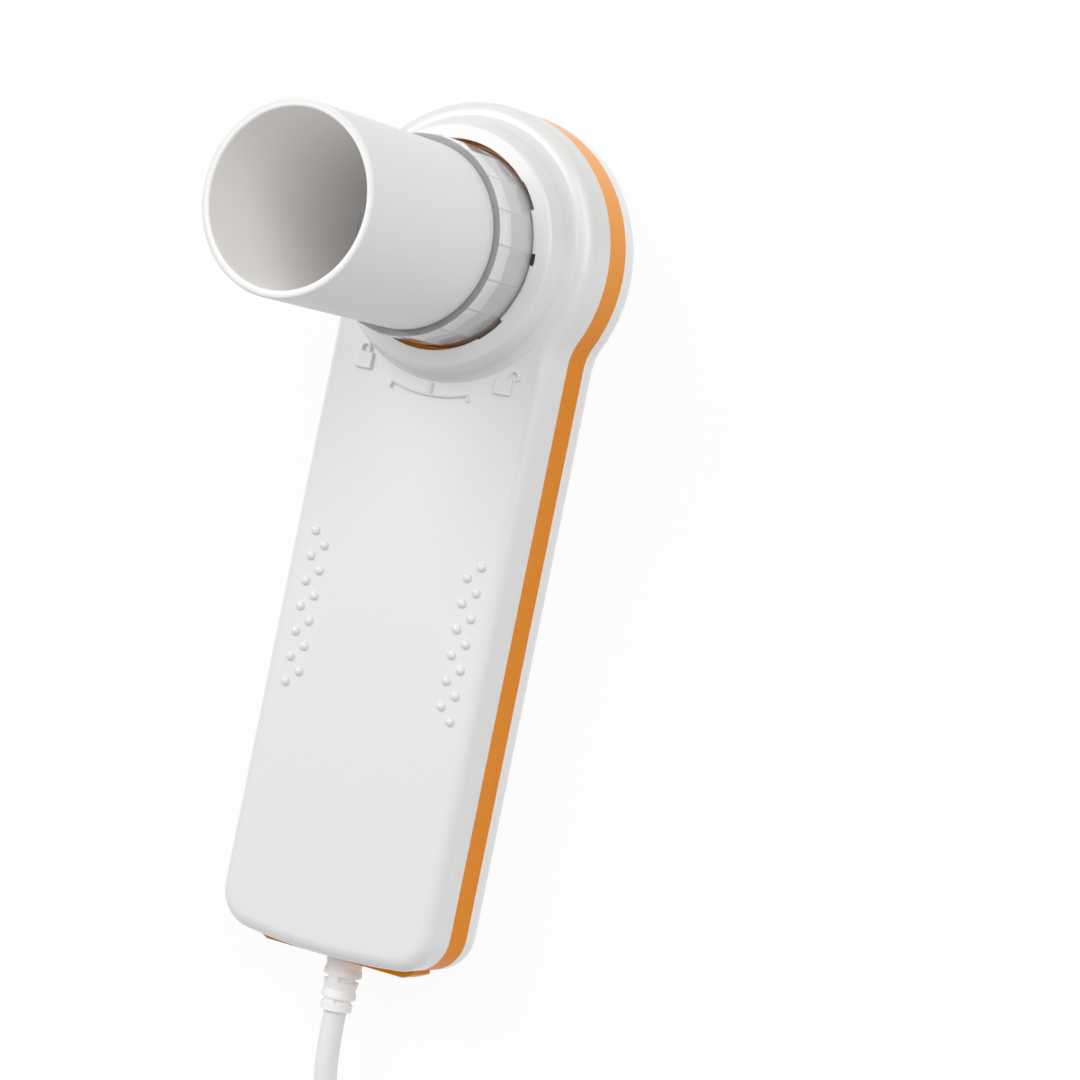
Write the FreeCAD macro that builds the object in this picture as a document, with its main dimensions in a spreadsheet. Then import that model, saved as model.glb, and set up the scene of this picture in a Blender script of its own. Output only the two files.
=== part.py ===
import FreeCAD, Part
import math
import os

import Sketcher

V = FreeCAD.Vector

# Driving dimensions, in millimetres and degrees.
# The device lies on its back: X across, Y towards the head, Z out of the front face.
# Heights are measured from the rear face, distances along Y from the turbine's axis.
SIZES = {
    # Outline of the housing
    "grip_half_width": 20.4,
    "neck_radius": 8.0,
    "corner_radius": 6.5,
    "end_bow_radius": 122.0,
    "axis_to_end": 115.75,
    # Depth of the three mouldings and their walls
    "rear_depth": 5.9,
    "band_depth": 5.4,
    "front_depth": 6.1,
    "shell_wall": 1.8,
    "front_edge_radius": 2.4,
    "rear_edge_radius": 4.0,
    "seam_gap": 0.1,
    # Foot at the end of the band
    "foot_drop": 0.65,
    "foot_inset": 5.4,
    "foot_chamfer": 1.8,
    "foot_chamfer_drop": 0.25,
    # Stepped collar round the turbine
    "lip_gap": 0.1,
    "lip_round": 0.5,
    "lip_thickness": 1.3,
    "collar_height": 5.7,
    "crest_reach": 0.5,
    "crest_drop": 0.35,
    "crest_round": 0.9,
    "crest_width": 0.75,
    "collar_wall_reach": 1.85,
    "collar_wall_drop": 3.1,
    "collar_foot_reach": 3.1,
    "collar_foot_round": 3.0,
    # Grip bumps
    "bump_start": 49.0,
    "bump_pitch": 4.17,
    "bump_count": 7,
    "bump_inset": 4.63,
    "bump_row_step": 2.13,
    "bump_radius": 0.78,
    "bump_height": 0.42,
    # Barrel that holds the turbine
    "barrel_wall": 2.15,
    "sensor_room": 3.9,
    "barrel_ridge": 0.35,
    "barrel_ridge_height": 0.6,
    "barrel_drop": 3.0,
    "deck_thickness": 1.2,
    # Turbine body
    "socket_wall": 1.15,
    "turbine_clearance": 0.1,
    "turbine_wall": 1.95,
    "turbine_rear": 0.6,
    "turbine_end_gap": 0.2,
    "spigot_step": 0.55,
    "outlet_clearance": 0.2,
    "grip_ring_lift": 0.3,
    "grip_ring_swell": 0.15,
    "grip_flat_depth": 0.25,
    "grip_flats": 18,
    "grip_flat_turn": 13.0,
    "grip_ring_height": 9.9,
    "socket_depth": 6.0,
    # Bayonet lock
    "lug_reach": 0.85,
    "lug_height": 1.8,
    "lug_drop": 1.9,
    "lug_angle": 15.0,
    "slot_reach": 0.95,
    "groove_reach": 0.9,
    "slot_angle": 17.0,
    "slot_place": 35.5,
    "slot_spread": 81.0,
    "opening_reach": 0.75,
    "opening_start": 27.0,
    "opening_angle": 116.0,
    "lock_travel": 35.0,
    "groove_clearance": 0.1,
    "notch_angle": 6.4,
    # Mouthpiece
    "mouthpiece_radius": 15.0,
    "mouthpiece_wall": 1.3,
    "mouthpiece_length": 42.4,
    "mouthpiece_squeeze": 0.25,
    "mouthpiece_step_gap": 0.2,
    "mouthpiece_clearance": 0.05,
    "mouthpiece_rim_round": 0.4,
    # Swirlers, bearings and rotor
    "swirler_ring": 0.8,
    "swirler_hub": 3.0,
    "swirler_fit": 0.05,
    "vane_count": 8,
    "vane_thickness": 0.7,
    "vane_twist": 38.0,
    "rear_swirler_base": 1.4,
    "rear_swirler_height": 5.0,
    "front_swirler_lift": 0.2,
    "front_swirler_height": 6.0,
    "bearing_radius": 1.2,
    "bearing_depth": 1.4,
    "bearing_fit": 0.03,
    "axle_radius": 0.4,
    "axle_clearance": 0.05,
    "axle_point": 0.5,
    "axle_end_play": 0.1,
    "rotor_gap": 1.0,
    "rotor_height": 9.4,
    "rotor_thickness": 0.5,
    "rotor_hub": 1.0,
    "rotor_rest_angle": 25.0,
    # Infrared windows and parts
    "window_radius": 1.6,
    "window_lift": 3.4,
    "sensor_count": 3,
    "sensor_gap": 0.5,
    "sensor_depth": 1.7,
    "sensor_width": 4.4,
    "sensor_height": 5.4,
    "lens_radius": 1.2,
    "lens_setback": 1.35,
    # Boards
    "ring_board_thickness": 1.0,
    "board_gap": 0.3,
    "ring_board_tab_reach": 2.6,
    "ring_board_tab_half": 7.0,
    "main_board_thickness": 1.2,
    "board_spacing": 0.6,
    "boss_margin": 1.4,
    "main_board_back_off": 17.15,
    "board_side_gap": 1.8,
    "board_post_radius": 2.0,
    "board_post_inset": 2.4,
    "board_post_near": 37.5,
    # Case screws and bosses
    "boss_radius": 2.6,
    "rear_boss_radius": 3.2,
    "boss_inset": 6.0,
    "boss_near_y": 29.0,
    "boss_far_inset": 7.4,
    "boss_end_margin": 8.75,
    "case_screw_radius": 1.1,
    "case_screw_head_radius": 2.1,
    "case_screw_head_height": 1.5,
    "case_screw_tip_gap": 2.8,
    "case_screw_recess": 2.6,
    "small_screw_radius": 0.7,
    "small_screw_head_radius": 1.4,
    "small_screw_head_height": 0.9,
    "small_screw_length": 4.0,
    "screw_fit": 0.05,
    # Cable, strain relief and clamp
    "cable_radius": 1.9,
    "cable_height": 7.4,
    "relief_root_radius": 3.15,
    "relief_tip_radius": 2.6,
    "relief_neck_radius": 2.9,
    "relief_length": 8.8,
    "relief_flange_radius": 4.2,
    "relief_flange": 1.4,
    "relief_first": 3.0,
    "relief_second": 2.8,
    "relief_waist": 0.25,
    "relief_bead": 0.7,
    "relief_groove_width": 0.9,
    "relief_skin": 0.3,
    "relief_web_angle": 34.0,
    "relief_fit": 0.1,
    "sheath_length": 9.6,
    "saddle_back_off": 7.45,
    "saddle_half_width": 7.6,
    "saddle_depth": 4.6,
    "saddle_plate": 1.5,
    "saddle_wall": 1.2,
    "saddle_screw_x": 5.6,
    # Coil, tie and plug
    "coil_middle_radius": 21.0,
    "coil_columns": 3,
    "coil_layers": 3,
    "coil_x": -6.0,
    "coil_y": 180.0,
    "tie_width": 5.0,
    "tie_thickness": 0.8,
    "tie_place": 150.0,
    "plug_grip_length": 21.0,
    "plug_grip_width": 15.4,
    "plug_grip_height": 8.2,
    "plug_relief_length": 8.0,
    "plug_shell_length": 12.0,
    "plug_shell_width": 12.0,
    "plug_shell_height": 4.5,
    "plug_shell_wall": 0.35,
    "plug_x": -5.2,
    "plug_y": 216.6,
}

doc = FreeCAD.newDocument("spirometer")
sheet = doc.addObject("Spreadsheet::Sheet", "sizes")
for row, (alias, value) in enumerate(SIZES.items(), 1):
    sheet.set(f"A{row}", alias)
    sheet.set(f"B{row}", str(value))
    sheet.setAlias(f"B{row}", alias)
doc.recompute()

# Sizes and places worked out from the driving dimensions, as expressions
TURBINE_RADIUS = "(sizes.mouthpiece_radius + sizes.socket_wall)"
BARREL_BORE = f"({TURBINE_RADIUS} + sizes.turbine_clearance)"
BARREL_OUTER = f"({BARREL_BORE} + sizes.barrel_wall)"
HEAD_RADIUS = f"({BARREL_OUTER} + sizes.sensor_room + sizes.shell_wall)"
COLLAR_BORE = f"({BARREL_OUTER} + sizes.seam_gap)"
SEAM_LOW = "sizes.rear_depth"
SEAM_HIGH = "(sizes.rear_depth + sizes.band_depth)"
FACE = "(sizes.rear_depth + sizes.band_depth + sizes.front_depth)"
LIP_TOP = f"({FACE} + sizes.collar_height)"
LIP_UNDER = f"({LIP_TOP} - sizes.lip_thickness)"
FOOT_END = "(sizes.axis_to_end + sizes.foot_drop)"
AXIS_Y = f"({FOOT_END} - {HEAD_RADIUS}) / 2"
LIP_RADIUS = f"({BARREL_BORE} + sizes.lip_gap)"
CREST_RADIUS = f"({COLLAR_BORE} + sizes.crest_reach)"
COLLAR_WALL_RADIUS = f"({COLLAR_BORE} + sizes.collar_wall_reach)"
COLLAR_FOOT_RADIUS = f"({COLLAR_BORE} + sizes.collar_foot_reach)"
BARREL_TOP = f"({LIP_TOP} - sizes.barrel_drop)"
TURBINE_BORE = f"({TURBINE_RADIUS} - sizes.turbine_wall)"
TURBINE_SHOULDER = "(sizes.shell_wall + sizes.turbine_end_gap)"
SPIGOT_RADIUS = f"({TURBINE_RADIUS} - sizes.spigot_step)"
OUTLET_RADIUS = f"({SPIGOT_RADIUS} + sizes.outlet_clearance)"
GRIP_RING_START = f"({LIP_TOP} + sizes.grip_ring_lift)"
GRIP_RING_RADIUS = f"({TURBINE_RADIUS} + sizes.grip_ring_swell)"
GRIP_FLAT_RADIUS = f"({GRIP_RING_RADIUS} - sizes.grip_flat_depth)"
TURBINE_TOP = f"({LIP_TOP} + sizes.grip_ring_height)"
LUG_RADIUS = f"({TURBINE_RADIUS} + sizes.lug_reach)"
LUG_BASE = f"({FACE} - sizes.lug_drop)"
SLOT_RADIUS = f"({BARREL_BORE} + sizes.slot_reach)"
OPENING_RADIUS = f"({BARREL_BORE} + sizes.opening_reach)"
GROOVE_RADIUS = f"({BARREL_BORE} + sizes.groove_reach)"
FRONT_SWIRLER_BASE = f"({FACE} + sizes.front_swirler_lift)"
ROTOR_SPAN = f"(2 * ({TURBINE_BORE} - sizes.rotor_gap))"
BOARD_TOP = "(sizes.rear_depth + sizes.deck_thickness + sizes.ring_board_thickness)"
WINDOW_HEIGHT = f"({BOARD_TOP} + sizes.window_lift)"
SENSOR_INSET = f"({BARREL_OUTER} + sizes.sensor_gap)"
LENS_REACH = f"({BARREL_BORE} + sizes.lens_setback)"
RING_BOARD_INNER = f"({BARREL_OUTER} + sizes.board_gap)"
RING_BOARD_OUTER = f"({HEAD_RADIUS} - sizes.shell_wall - sizes.board_gap)"
RING_BOARD_TAB_END = f"({RING_BOARD_OUTER} + sizes.ring_board_tab_reach)"
MAIN_BOARD_START = f"({RING_BOARD_TAB_END} + sizes.board_spacing)"
MAIN_BOARD_STEP = "(sizes.boss_near_y + sizes.rear_boss_radius + sizes.boss_margin)"
MAIN_BOARD_END = "(sizes.axis_to_end - sizes.main_board_back_off)"
MAIN_BOARD_HALF = "(sizes.grip_half_width - sizes.shell_wall - sizes.board_side_gap)"
BOSS_NEAR_X = "(sizes.grip_half_width - sizes.boss_inset)"
MAIN_BOARD_NECK_HALF = f"({BOSS_NEAR_X} - sizes.rear_boss_radius - sizes.board_gap)"
BOARD_POST_X = f"({MAIN_BOARD_HALF} - sizes.board_post_inset)"
BOARD_POST_FAR = f"({MAIN_BOARD_END} - sizes.board_post_inset)"
BOSS_SPLIT = "(sizes.rear_depth + sizes.seam_gap)"
BOSS_FAR_X = "(sizes.grip_half_width - sizes.boss_far_inset)"
BOSS_FAR_Y = "(sizes.axis_to_end - sizes.boss_end_margin)"
CASE_SCREW_LENGTH = f"({FACE} - sizes.case_screw_tip_gap - sizes.case_screw_recess)"
FOOT_HALF_WIDTH = "(sizes.grip_half_width - sizes.foot_inset)"
FOOT_END_HALF_WIDTH = f"({FOOT_HALF_WIDTH} - sizes.foot_chamfer)"
BUMP_OUTER_X = "(sizes.grip_half_width - sizes.bump_inset)"
BUMP_INNER_X = f"({BUMP_OUTER_X} - sizes.bump_row_step)"
SADDLE_Y = "(sizes.axis_to_end - sizes.saddle_back_off)"
SOCKET_FLOOR = f"({TURBINE_TOP} - sizes.socket_depth)"
MOUTHPIECE_END_RADIUS = "(sizes.mouthpiece_radius - sizes.mouthpiece_squeeze)"
MOUTHPIECE_STEP = f"({TURBINE_TOP} + sizes.mouthpiece_step_gap)"
BOARD_UNDER = f"({BOARD_TOP} - sizes.main_board_thickness)"
ROTOR_MIDDLE = (
    f"((sizes.rear_swirler_base + sizes.rear_swirler_height + {FRONT_SWIRLER_BASE}) / 2)"
)

parts = {}


def size(expression):
    """The value that an expression of the sheet's sizes has now."""
    return float(sheet.evalExpression(str(expression)))


def keep(label, item, along=AXIS_Y):
    """Names a finished sub-part and moves its origin to the turbine's axis."""
    item.Label = label
    if along:
        item.setExpression(".Placement.Base.y", along)
    parts[label] = item
    return item


def new_body(name):
    body = doc.addObject("PartDesign::Body", name)
    body.AllowCompound = True
    return body


def plane_of(body, role):
    return next(f for f in body.Origin.OriginFeatures if f.Role == role)


def attach(item, body, role="XY_Plane", height=None, turn=None):
    """Fixes a sketch or primitive to a plane of its body, lifted and turned by expressions."""
    item.AttachmentSupport = (plane_of(body, role), "")
    item.MapMode = "FlatFace"
    if height is not None:
        item.setExpression(".AttachmentOffset.Base.z", str(height))
    if turn is not None:
        item.setExpression(".AttachmentOffset.Rotation.Angle", str(turn))
    return item


def new_sketch(body, role="XY_Plane", height=None, turn=None):
    sketch = body.newObject("Sketcher::SketchObject", "Sketch")
    return attach(sketch, body, role, height, turn)


def bind(sketch, kind, geometry, expression):
    """Adds one dimension and ties it to an expression."""
    value = size(expression)
    index = sketch.addConstraint(Sketcher.Constraint(kind, *geometry, value))
    sketch.renameConstraint(index, f"c{index}")
    sketch.setExpression(f"Constraints.c{index}", str(expression))


def add_circle(sketch, x, y, radius):
    index = sketch.addGeometry(Part.Circle(V(size(x), size(y), 0), V(0, 0, 1), size(radius)))
    bind(sketch, "Radius", (index,), radius)
    bind(sketch, "DistanceX", (-1, 1, index, 3), x)
    bind(sketch, "DistanceY", (-1, 1, index, 3), y)


def arc_between(start, end, radius):
    """The short arc between two points; a positive radius bows it to the right of the way."""
    chord = end - start
    side = V(chord.y, -chord.x, 0).normalize()
    rise = math.sqrt(max(radius * radius - chord.Length**2 / 4, 0.0))
    centre = (start + end) / 2 - side * math.copysign(rise, radius)
    middle = centre + side * math.copysign(abs(radius), radius)
    return Part.Arc(start, middle, end)


def add_outline(sketch, corners):
    """A closed outline. A corner is (x, y), or (x, y, radius) where an arc leads on from it."""
    points = [V(size(c[0]), size(c[1]), 0) for c in corners]
    first = sketch.GeometryCount
    count = len(points)
    shapes = []
    for i, corner in enumerate(corners):
        ahead = points[(i + 1) % count]
        if len(corner) > 2:
            shapes.append(arc_between(points[i], ahead, size(corner[2])))
        else:
            shapes.append(Part.LineSegment(points[i], ahead))
    sketch.addGeometry(shapes)
    # An arc keeps its start and end whichever way round it is stored
    ends = []
    for i, corner in enumerate(corners):
        start = sketch.getPoint(first + i, 1)
        forward = (start - points[i]).Length < 1e-6
        ends.append((1, 2) if forward else (2, 1))
    for i, corner in enumerate(corners):
        j = (i + 1) % count
        sketch.addConstraint(
            Sketcher.Constraint("Coincident", first + i, ends[i][1], first + j, ends[j][0])
        )
    for i, corner in enumerate(corners):
        bind(sketch, "DistanceX", (-1, 1, first + i, ends[i][0]), corner[0])
        bind(sketch, "DistanceY", (-1, 1, first + i, ends[i][0]), corner[1])
        if len(corner) > 2:
            bind(sketch, "Radius", (first + i,), f"abs({corner[2]})")


def add_rectangle(sketch, x_low, y_low, x_high, y_high):
    add_outline(sketch, [(x_low, y_low), (x_high, y_low), (x_high, y_high), (x_low, y_high)])


def pad(body, sketch, length):
    feature = body.newObject("PartDesign::Pad", "Pad")
    feature.Profile = sketch
    feature.setExpression("Length", str(length))
    doc.recompute()
    return feature


def pocket(body, sketch, length, refine=True):
    before = body.Tip.Shape.Volume
    feature = body.newObject("PartDesign::Pocket", "Pocket")
    feature.Refine = refine
    feature.Profile = sketch
    feature.setExpression("Length", str(length))
    feature.Reversed = True
    doc.recompute()
    if feature.Shape.isNull() or feature.Shape.Volume > before - 1e-6:
        print("a pocket cut nothing in", body.Name, feature.Name)
    return feature


def revolve(body, corners, cut=False):
    """Turns an outline in the XZ plane about the body's Z axis."""
    sketch = new_sketch(body, "XZ_Plane")
    add_outline(sketch, corners)
    doc.recompute()
    kind = "PartDesign::Groove" if cut else "PartDesign::Revolution"
    feature = body.newObject(kind, "Turned")
    feature.Profile = sketch
    feature.ReferenceAxis = (sketch, ["V_Axis"])
    feature.Angle = 360
    doc.recompute()
    return feature


def sector(body, radius, low, height, start, angle, cut=True):
    """Cuts or adds a slice of a disc round the body's Z axis."""
    kind = "PartDesign::SubtractiveCylinder" if cut else "PartDesign::AdditiveCylinder"
    feature = body.newObject(kind, "Sector")
    attach(feature, body, "XY_Plane", low, start)
    feature.setExpression("Radius", str(radius))
    feature.setExpression("Height", str(height))
    feature.setExpression("Angle", str(angle))
    doc.recompute()
    return feature


def polar(body, feature, count):
    pattern = body.newObject("PartDesign::PolarPattern", "Around")
    pattern.Originals = [feature]
    pattern.Axis = (plane_of(body, "Z_Axis"), [""])
    pattern.Angle = 360
    pattern.setExpression("Occurrences", str(count))
    body.Tip = pattern
    doc.recompute()
    return pattern


def linear(body, feature, length, count, role="Y_Axis", backward=True):
    pattern = body.newObject("PartDesign::LinearPattern", "Row")
    pattern.Originals = [feature]
    pattern.Direction = (plane_of(body, role), [""])
    pattern.Reversed = backward
    pattern.setExpression("Length", str(length))
    pattern.setExpression("Occurrences", str(count))
    body.Tip = pattern
    doc.recompute()
    return pattern


def fillet(body, names, radius, kind="PartDesign::Fillet", key="Radius"):
    base = body.Tip
    feature = body.newObject(kind, "Rounding")
    feature.Base = (base, names)
    feature.setExpression(key, str(radius))
    body.Tip = feature
    doc.recompute()
    return feature


def edges_at(shape, height):
    """Names of the edges that lie flat at one height."""
    names = []
    for i, edge in enumerate(shape.Edges, 1):
        box = edge.BoundBox
        if abs(box.ZMin - height) < 1e-4 and abs(box.ZMax - height) < 1e-4:
            names.append(f"Edge{i}")
    return names


# Outline of the housing: a round head, concave necks, a straight grip and a bowed end

def add_housing(sketch, inset):
    """The housing's outline, drawn inwards by an expression."""
    radius = f"({HEAD_RADIUS} - ({inset}))"
    neck = f"(sizes.neck_radius + ({inset}))"
    half = f"(sizes.grip_half_width - ({inset}))"
    corner = f"(sizes.corner_radius - ({inset}))"
    bow = f"(sizes.end_bow_radius - ({inset}))"
    r, n, w, c, b = (size(e) for e in (radius, neck, half, corner, bow))
    neck_y = -math.sqrt((r + n) ** 2 - (w + n) ** 2)
    bow_y = size("sizes.end_bow_radius - sizes.axis_to_end")
    corner_y = bow_y - math.sqrt((b - c) ** 2 - (w - c) ** 2)
    join = V(w + n, neck_y, 0) * (r / (r + n))
    lean = V(w - c, corner_y - bow_y, 0).normalize()
    toe = V(0, bow_y, 0) + lean * b

    def mirrored(p):
        return V(-p.x, p.y, 0)

    def arc(centre, radius, start, end):
        middle = (start + end) / 2 - centre
        return Part.Arc(start, centre + middle.normalize() * radius, end)

    neck_centre = V(w + n, neck_y, 0)
    corner_centre = V(w - c, corner_y, 0)
    shapes = [
        Part.Arc(join, V(0, r, 0), mirrored(join)),
        arc(mirrored(neck_centre), n, mirrored(join), V(-w, neck_y, 0)),
        Part.LineSegment(V(-w, neck_y, 0), V(-w, corner_y, 0)),
        arc(mirrored(corner_centre), c, V(-w, corner_y, 0), mirrored(toe)),
        Part.Arc(mirrored(toe), V(0, bow_y - b, 0), toe),
        arc(corner_centre, c, toe, V(w, corner_y, 0)),
        Part.LineSegment(V(w, corner_y, 0), V(w, neck_y, 0)),
        arc(neck_centre, n, V(w, neck_y, 0), join),
    ]
    sketch.addGeometry(shapes)
    starts = [join, mirrored(join), V(-w, neck_y, 0), V(-w, corner_y, 0)]
    starts += [mirrored(toe), toe, V(w, corner_y, 0), V(w, neck_y, 0)]
    ends = []
    for i, start in enumerate(starts):
        forward = (sketch.getPoint(i, 1) - start).Length < 1e-6
        ends.append((1, 2) if forward else (2, 1))
    for i in range(8):
        j = (i + 1) % 8
        sketch.addConstraint(Sketcher.Constraint("Tangent", i, ends[i][1], j, ends[j][0]))
    sketch.addConstraint(Sketcher.Constraint("Coincident", 0, 3, -1, 1))
    sketch.addConstraint(Sketcher.Constraint("PointOnObject", 4, 3, -2))
    sketch.addConstraint(Sketcher.Constraint("Vertical", 2))
    sketch.addConstraint(Sketcher.Constraint("Vertical", 6))
    bind(sketch, "Radius", (0,), radius)
    bind(sketch, "Radius", (1,), neck)
    bind(sketch, "Radius", (7,), neck)
    bind(sketch, "Radius", (3,), corner)
    bind(sketch, "Radius", (5,), corner)
    bind(sketch, "Radius", (4,), bow)
    bind(sketch, "DistanceX", (-1, 1, 2, 1), f"-{half}")
    bind(sketch, "DistanceX", (-1, 1, 6, 1), half)
    bind(sketch, "DistanceY", (-1, 1, 4, 3), "sizes.end_bow_radius - sizes.axis_to_end")


BOSSES = [
    (f"{side} * {x}", f"-{y}")
    for x, y in ((BOSS_NEAR_X, "sizes.boss_near_y"), (BOSS_FAR_X, BOSS_FAR_Y))
    for side in (-1, 1)
]
BOARD_POSTS = [
    (f"{side} * {BOARD_POST_X}", f"-{y}")
    for y in ("sizes.board_post_near", BOARD_POST_FAR)
    for side in (-1, 1)
]
SADDLE_POSTS = [(f"{side} * sizes.saddle_screw_x", f"-{SADDLE_Y}") for side in (-1, 1)]
SLOTS = [
    f"sizes.slot_place + {turn}{lag}"
    for turn in (0, 180)
    for lag in ("", " - sizes.slot_spread")
]


def circles(body, places, radius, height):
    sketch = new_sketch(body, "XY_Plane", height)
    for x, y in places:
        add_circle(sketch, x, y, radius)
    return sketch


def front_cover():
    body = new_body("FrontCover")
    shell = new_sketch(body, "XY_Plane", SEAM_HIGH)
    add_housing(shell, "0")
    solid = pad(body, shell, "sizes.front_depth")
    fillet(body, edges_at(solid.Shape, size(FACE)), "sizes.front_edge_radius")
    cavity = new_sketch(body, "XY_Plane", SEAM_HIGH)
    add_housing(cavity, "sizes.shell_wall")
    pocket(body, cavity, "sizes.front_depth - sizes.shell_wall")
    bore = circles(body, [("0", "0")], COLLAR_BORE, f"{FACE} - 2 * sizes.shell_wall")
    pocket(body, bore, "3 * sizes.shell_wall")
    # Collar, from the lip's inner edge outwards and down to the face
    sunk = f"({FACE} - sizes.shell_wall / 2)"
    crest_z = f"({LIP_TOP} - sizes.crest_drop)"
    revolve(
        body,
        [
            (LIP_RADIUS, LIP_UNDER),
            (LIP_RADIUS, f"{LIP_TOP} - sizes.lip_round", "-sizes.lip_round"),
            (f"{LIP_RADIUS} + sizes.lip_round", LIP_TOP),
            (f"{LIP_RADIUS} + 2 * sizes.lip_round", LIP_TOP),
            (CREST_RADIUS, crest_z, "-sizes.crest_round"),
            (f"{CREST_RADIUS} + sizes.crest_width", f"{crest_z} - sizes.crest_width"),
            (
                COLLAR_WALL_RADIUS,
                f"{LIP_TOP} - sizes.collar_wall_drop",
                "sizes.collar_foot_round",
            ),
            (COLLAR_FOOT_RADIUS, FACE),
            (COLLAR_FOOT_RADIUS, sunk),
            (COLLAR_BORE, sunk),
            (COLLAR_BORE, LIP_UNDER),
        ],
    )
    # The lip stands in over the barrel as two tabs; between them it is cut back, deeper still
    # at the bayonet entries, and one tab has the index notch
    low = f"{LIP_UNDER} - sizes.lip_thickness / 2"
    for turn in (0, 180):
        sector(
            body,
            OPENING_RADIUS,
            low,
            "2 * sizes.lip_thickness",
            f"sizes.opening_start + {turn}",
            "sizes.opening_angle",
        )
    for place in SLOTS:
        start = f"{place} - sizes.slot_angle / 2"
        sector(body, SLOT_RADIUS, low, "2 * sizes.lip_thickness", start, "sizes.slot_angle")
    sector(
        body,
        SLOT_RADIUS,
        low,
        "2 * sizes.lip_thickness",
        "-sizes.notch_angle / 2",
        "sizes.notch_angle",
    )
    # Grip bumps: a long row with a shorter one inside it, down each side of the face
    for side in (-1, 1):
        bump_row(body, f"{side} * {BUMP_OUTER_X}", "0", "sizes.bump_count")
        bump_row(body, f"{side} * {BUMP_INNER_X}", "sizes.bump_pitch / 2", "(sizes.bump_count - 1)")
    # Screw bosses
    posts = circles(body, BOSSES, "sizes.boss_radius", BOSS_SPLIT)
    pad(body, posts, f"{FACE} - sizes.shell_wall / 2 - {BOSS_SPLIT}")
    pilots = circles(
        body, BOSSES, "sizes.case_screw_radius + sizes.screw_fit", BOSS_SPLIT
    )
    pocket(body, pilots, f"{FACE} - 1.5 * sizes.shell_wall - {BOSS_SPLIT}")
    return keep("front_cover", body)


def bump_row(body, x, lag, count):
    """A row of round caps that starts a little further from the turbine than bump_start."""
    sketch = new_sketch(body, "XZ_Plane", f"sizes.bump_start + {lag}")
    sunk = f"{FACE} - sizes.shell_wall / 3"
    cap = "(sizes.bump_radius ^ 2 + sizes.bump_height ^ 2) / (2 * sizes.bump_height)"
    add_outline(
        sketch,
        [
            (x, sunk),
            (f"{x} + sizes.bump_radius", sunk),
            (f"{x} + sizes.bump_radius", FACE, cap),
            (x, f"{FACE} + sizes.bump_height"),
        ],
    )
    doc.recompute()
    bump = body.newObject("PartDesign::Revolution", "Bump")
    bump.Profile = sketch
    bump.ReferenceAxis = (sketch, ["Edge4"])
    bump.Angle = 360
    doc.recompute()
    linear(body, bump, f"sizes.bump_pitch * ({count} - 1)", count)


def mid_frame():
    body = new_body("MidFrame")
    band = new_sketch(body, "XY_Plane", SEAM_LOW)
    add_housing(band, "0")
    pad(body, band, "sizes.band_depth")
    foot = new_sketch(body, "XY_Plane", SEAM_LOW)
    shoulder = "-(sizes.axis_to_end - sizes.foot_chamfer_drop)"
    inner = "-(sizes.axis_to_end - sizes.shell_wall + sizes.foot_chamfer_drop)"
    add_outline(
        foot,
        [
            (FOOT_END_HALF_WIDTH, f"-{FOOT_END}"),
            (FOOT_HALF_WIDTH, shoulder),
            (FOOT_HALF_WIDTH, inner),
            (f"-{FOOT_HALF_WIDTH}", inner),
            (f"-{FOOT_HALF_WIDTH}", shoulder),
            (f"-{FOOT_END_HALF_WIDTH}", f"-{FOOT_END}"),
        ],
    )
    pad(body, foot, "sizes.band_depth")
    hollow = new_sketch(body, "XY_Plane", SEAM_LOW)
    add_housing(hollow, "sizes.shell_wall")
    pocket(body, hollow, "sizes.band_depth")
    deck = circles(
        body, [("0", "0")], f"{HEAD_RADIUS} - sizes.shell_wall + sizes.seam_gap", SEAM_LOW
    )
    pad(body, deck, "sizes.deck_thickness")
    ridge = f"({BARREL_BORE} + sizes.barrel_ridge)"
    shoulder_z = f"({BARREL_TOP} - sizes.barrel_ridge_height)"
    floor = "sizes.shell_wall"
    revolve(
        body,
        [
            ("0", floor),
            (BARREL_OUTER, floor),
            (BARREL_OUTER, shoulder_z),
            (ridge, shoulder_z),
            (ridge, BARREL_TOP),
            ("0", BARREL_TOP),
        ],
    )
    bore = circles(body, [("0", "0")], BARREL_BORE, f"{floor} - 1")
    pocket(body, bore, f"{BARREL_TOP} + 2")
    # Bayonet grooves, each with its way in from the top
    groove_low = f"{LUG_BASE} - sizes.groove_clearance"
    for place in SLOTS:
        sector(
            body,
            GROOVE_RADIUS,
            groove_low,
            "sizes.lug_height + 2 * sizes.groove_clearance",
            f"{place} - sizes.lock_travel - sizes.slot_angle / 2",
            "sizes.lock_travel + sizes.slot_angle - 0.5",
        )
        sector(
            body,
            SLOT_RADIUS,
            f"{LUG_BASE} - sizes.groove_clearance / 2",
            f"{BARREL_TOP} - {LUG_BASE} + 1",
            f"{place} - sizes.slot_angle / 2",
            "sizes.slot_angle",
        )
    # Windows for the infrared beams
    window = new_sketch(body, "XZ_Plane")
    add_circle(window, "0", WINDOW_HEIGHT, "sizes.window_radius")
    hole = pocket(body, window, f"{BARREL_OUTER} + 1")
    polar(body, hole, "2 * sizes.sensor_count")
    # Screw holes of the sensor board, and the way out for the strain relief
    holes = circles(
        body,
        SENSOR_SCREWS,
        "sizes.small_screw_radius + sizes.screw_fit",
        f"{SEAM_LOW} - 1",
    )
    pocket(body, holes, "sizes.deck_thickness + 2")
    relief_way(body)
    return keep("mid_frame", body)


SENSOR_SCREW_X = f"(({RING_BOARD_INNER} + {RING_BOARD_OUTER}) / 2)"
SENSOR_SCREWS = [(f"{side} * {SENSOR_SCREW_X}", "0") for side in (-1, 1)]


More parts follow.
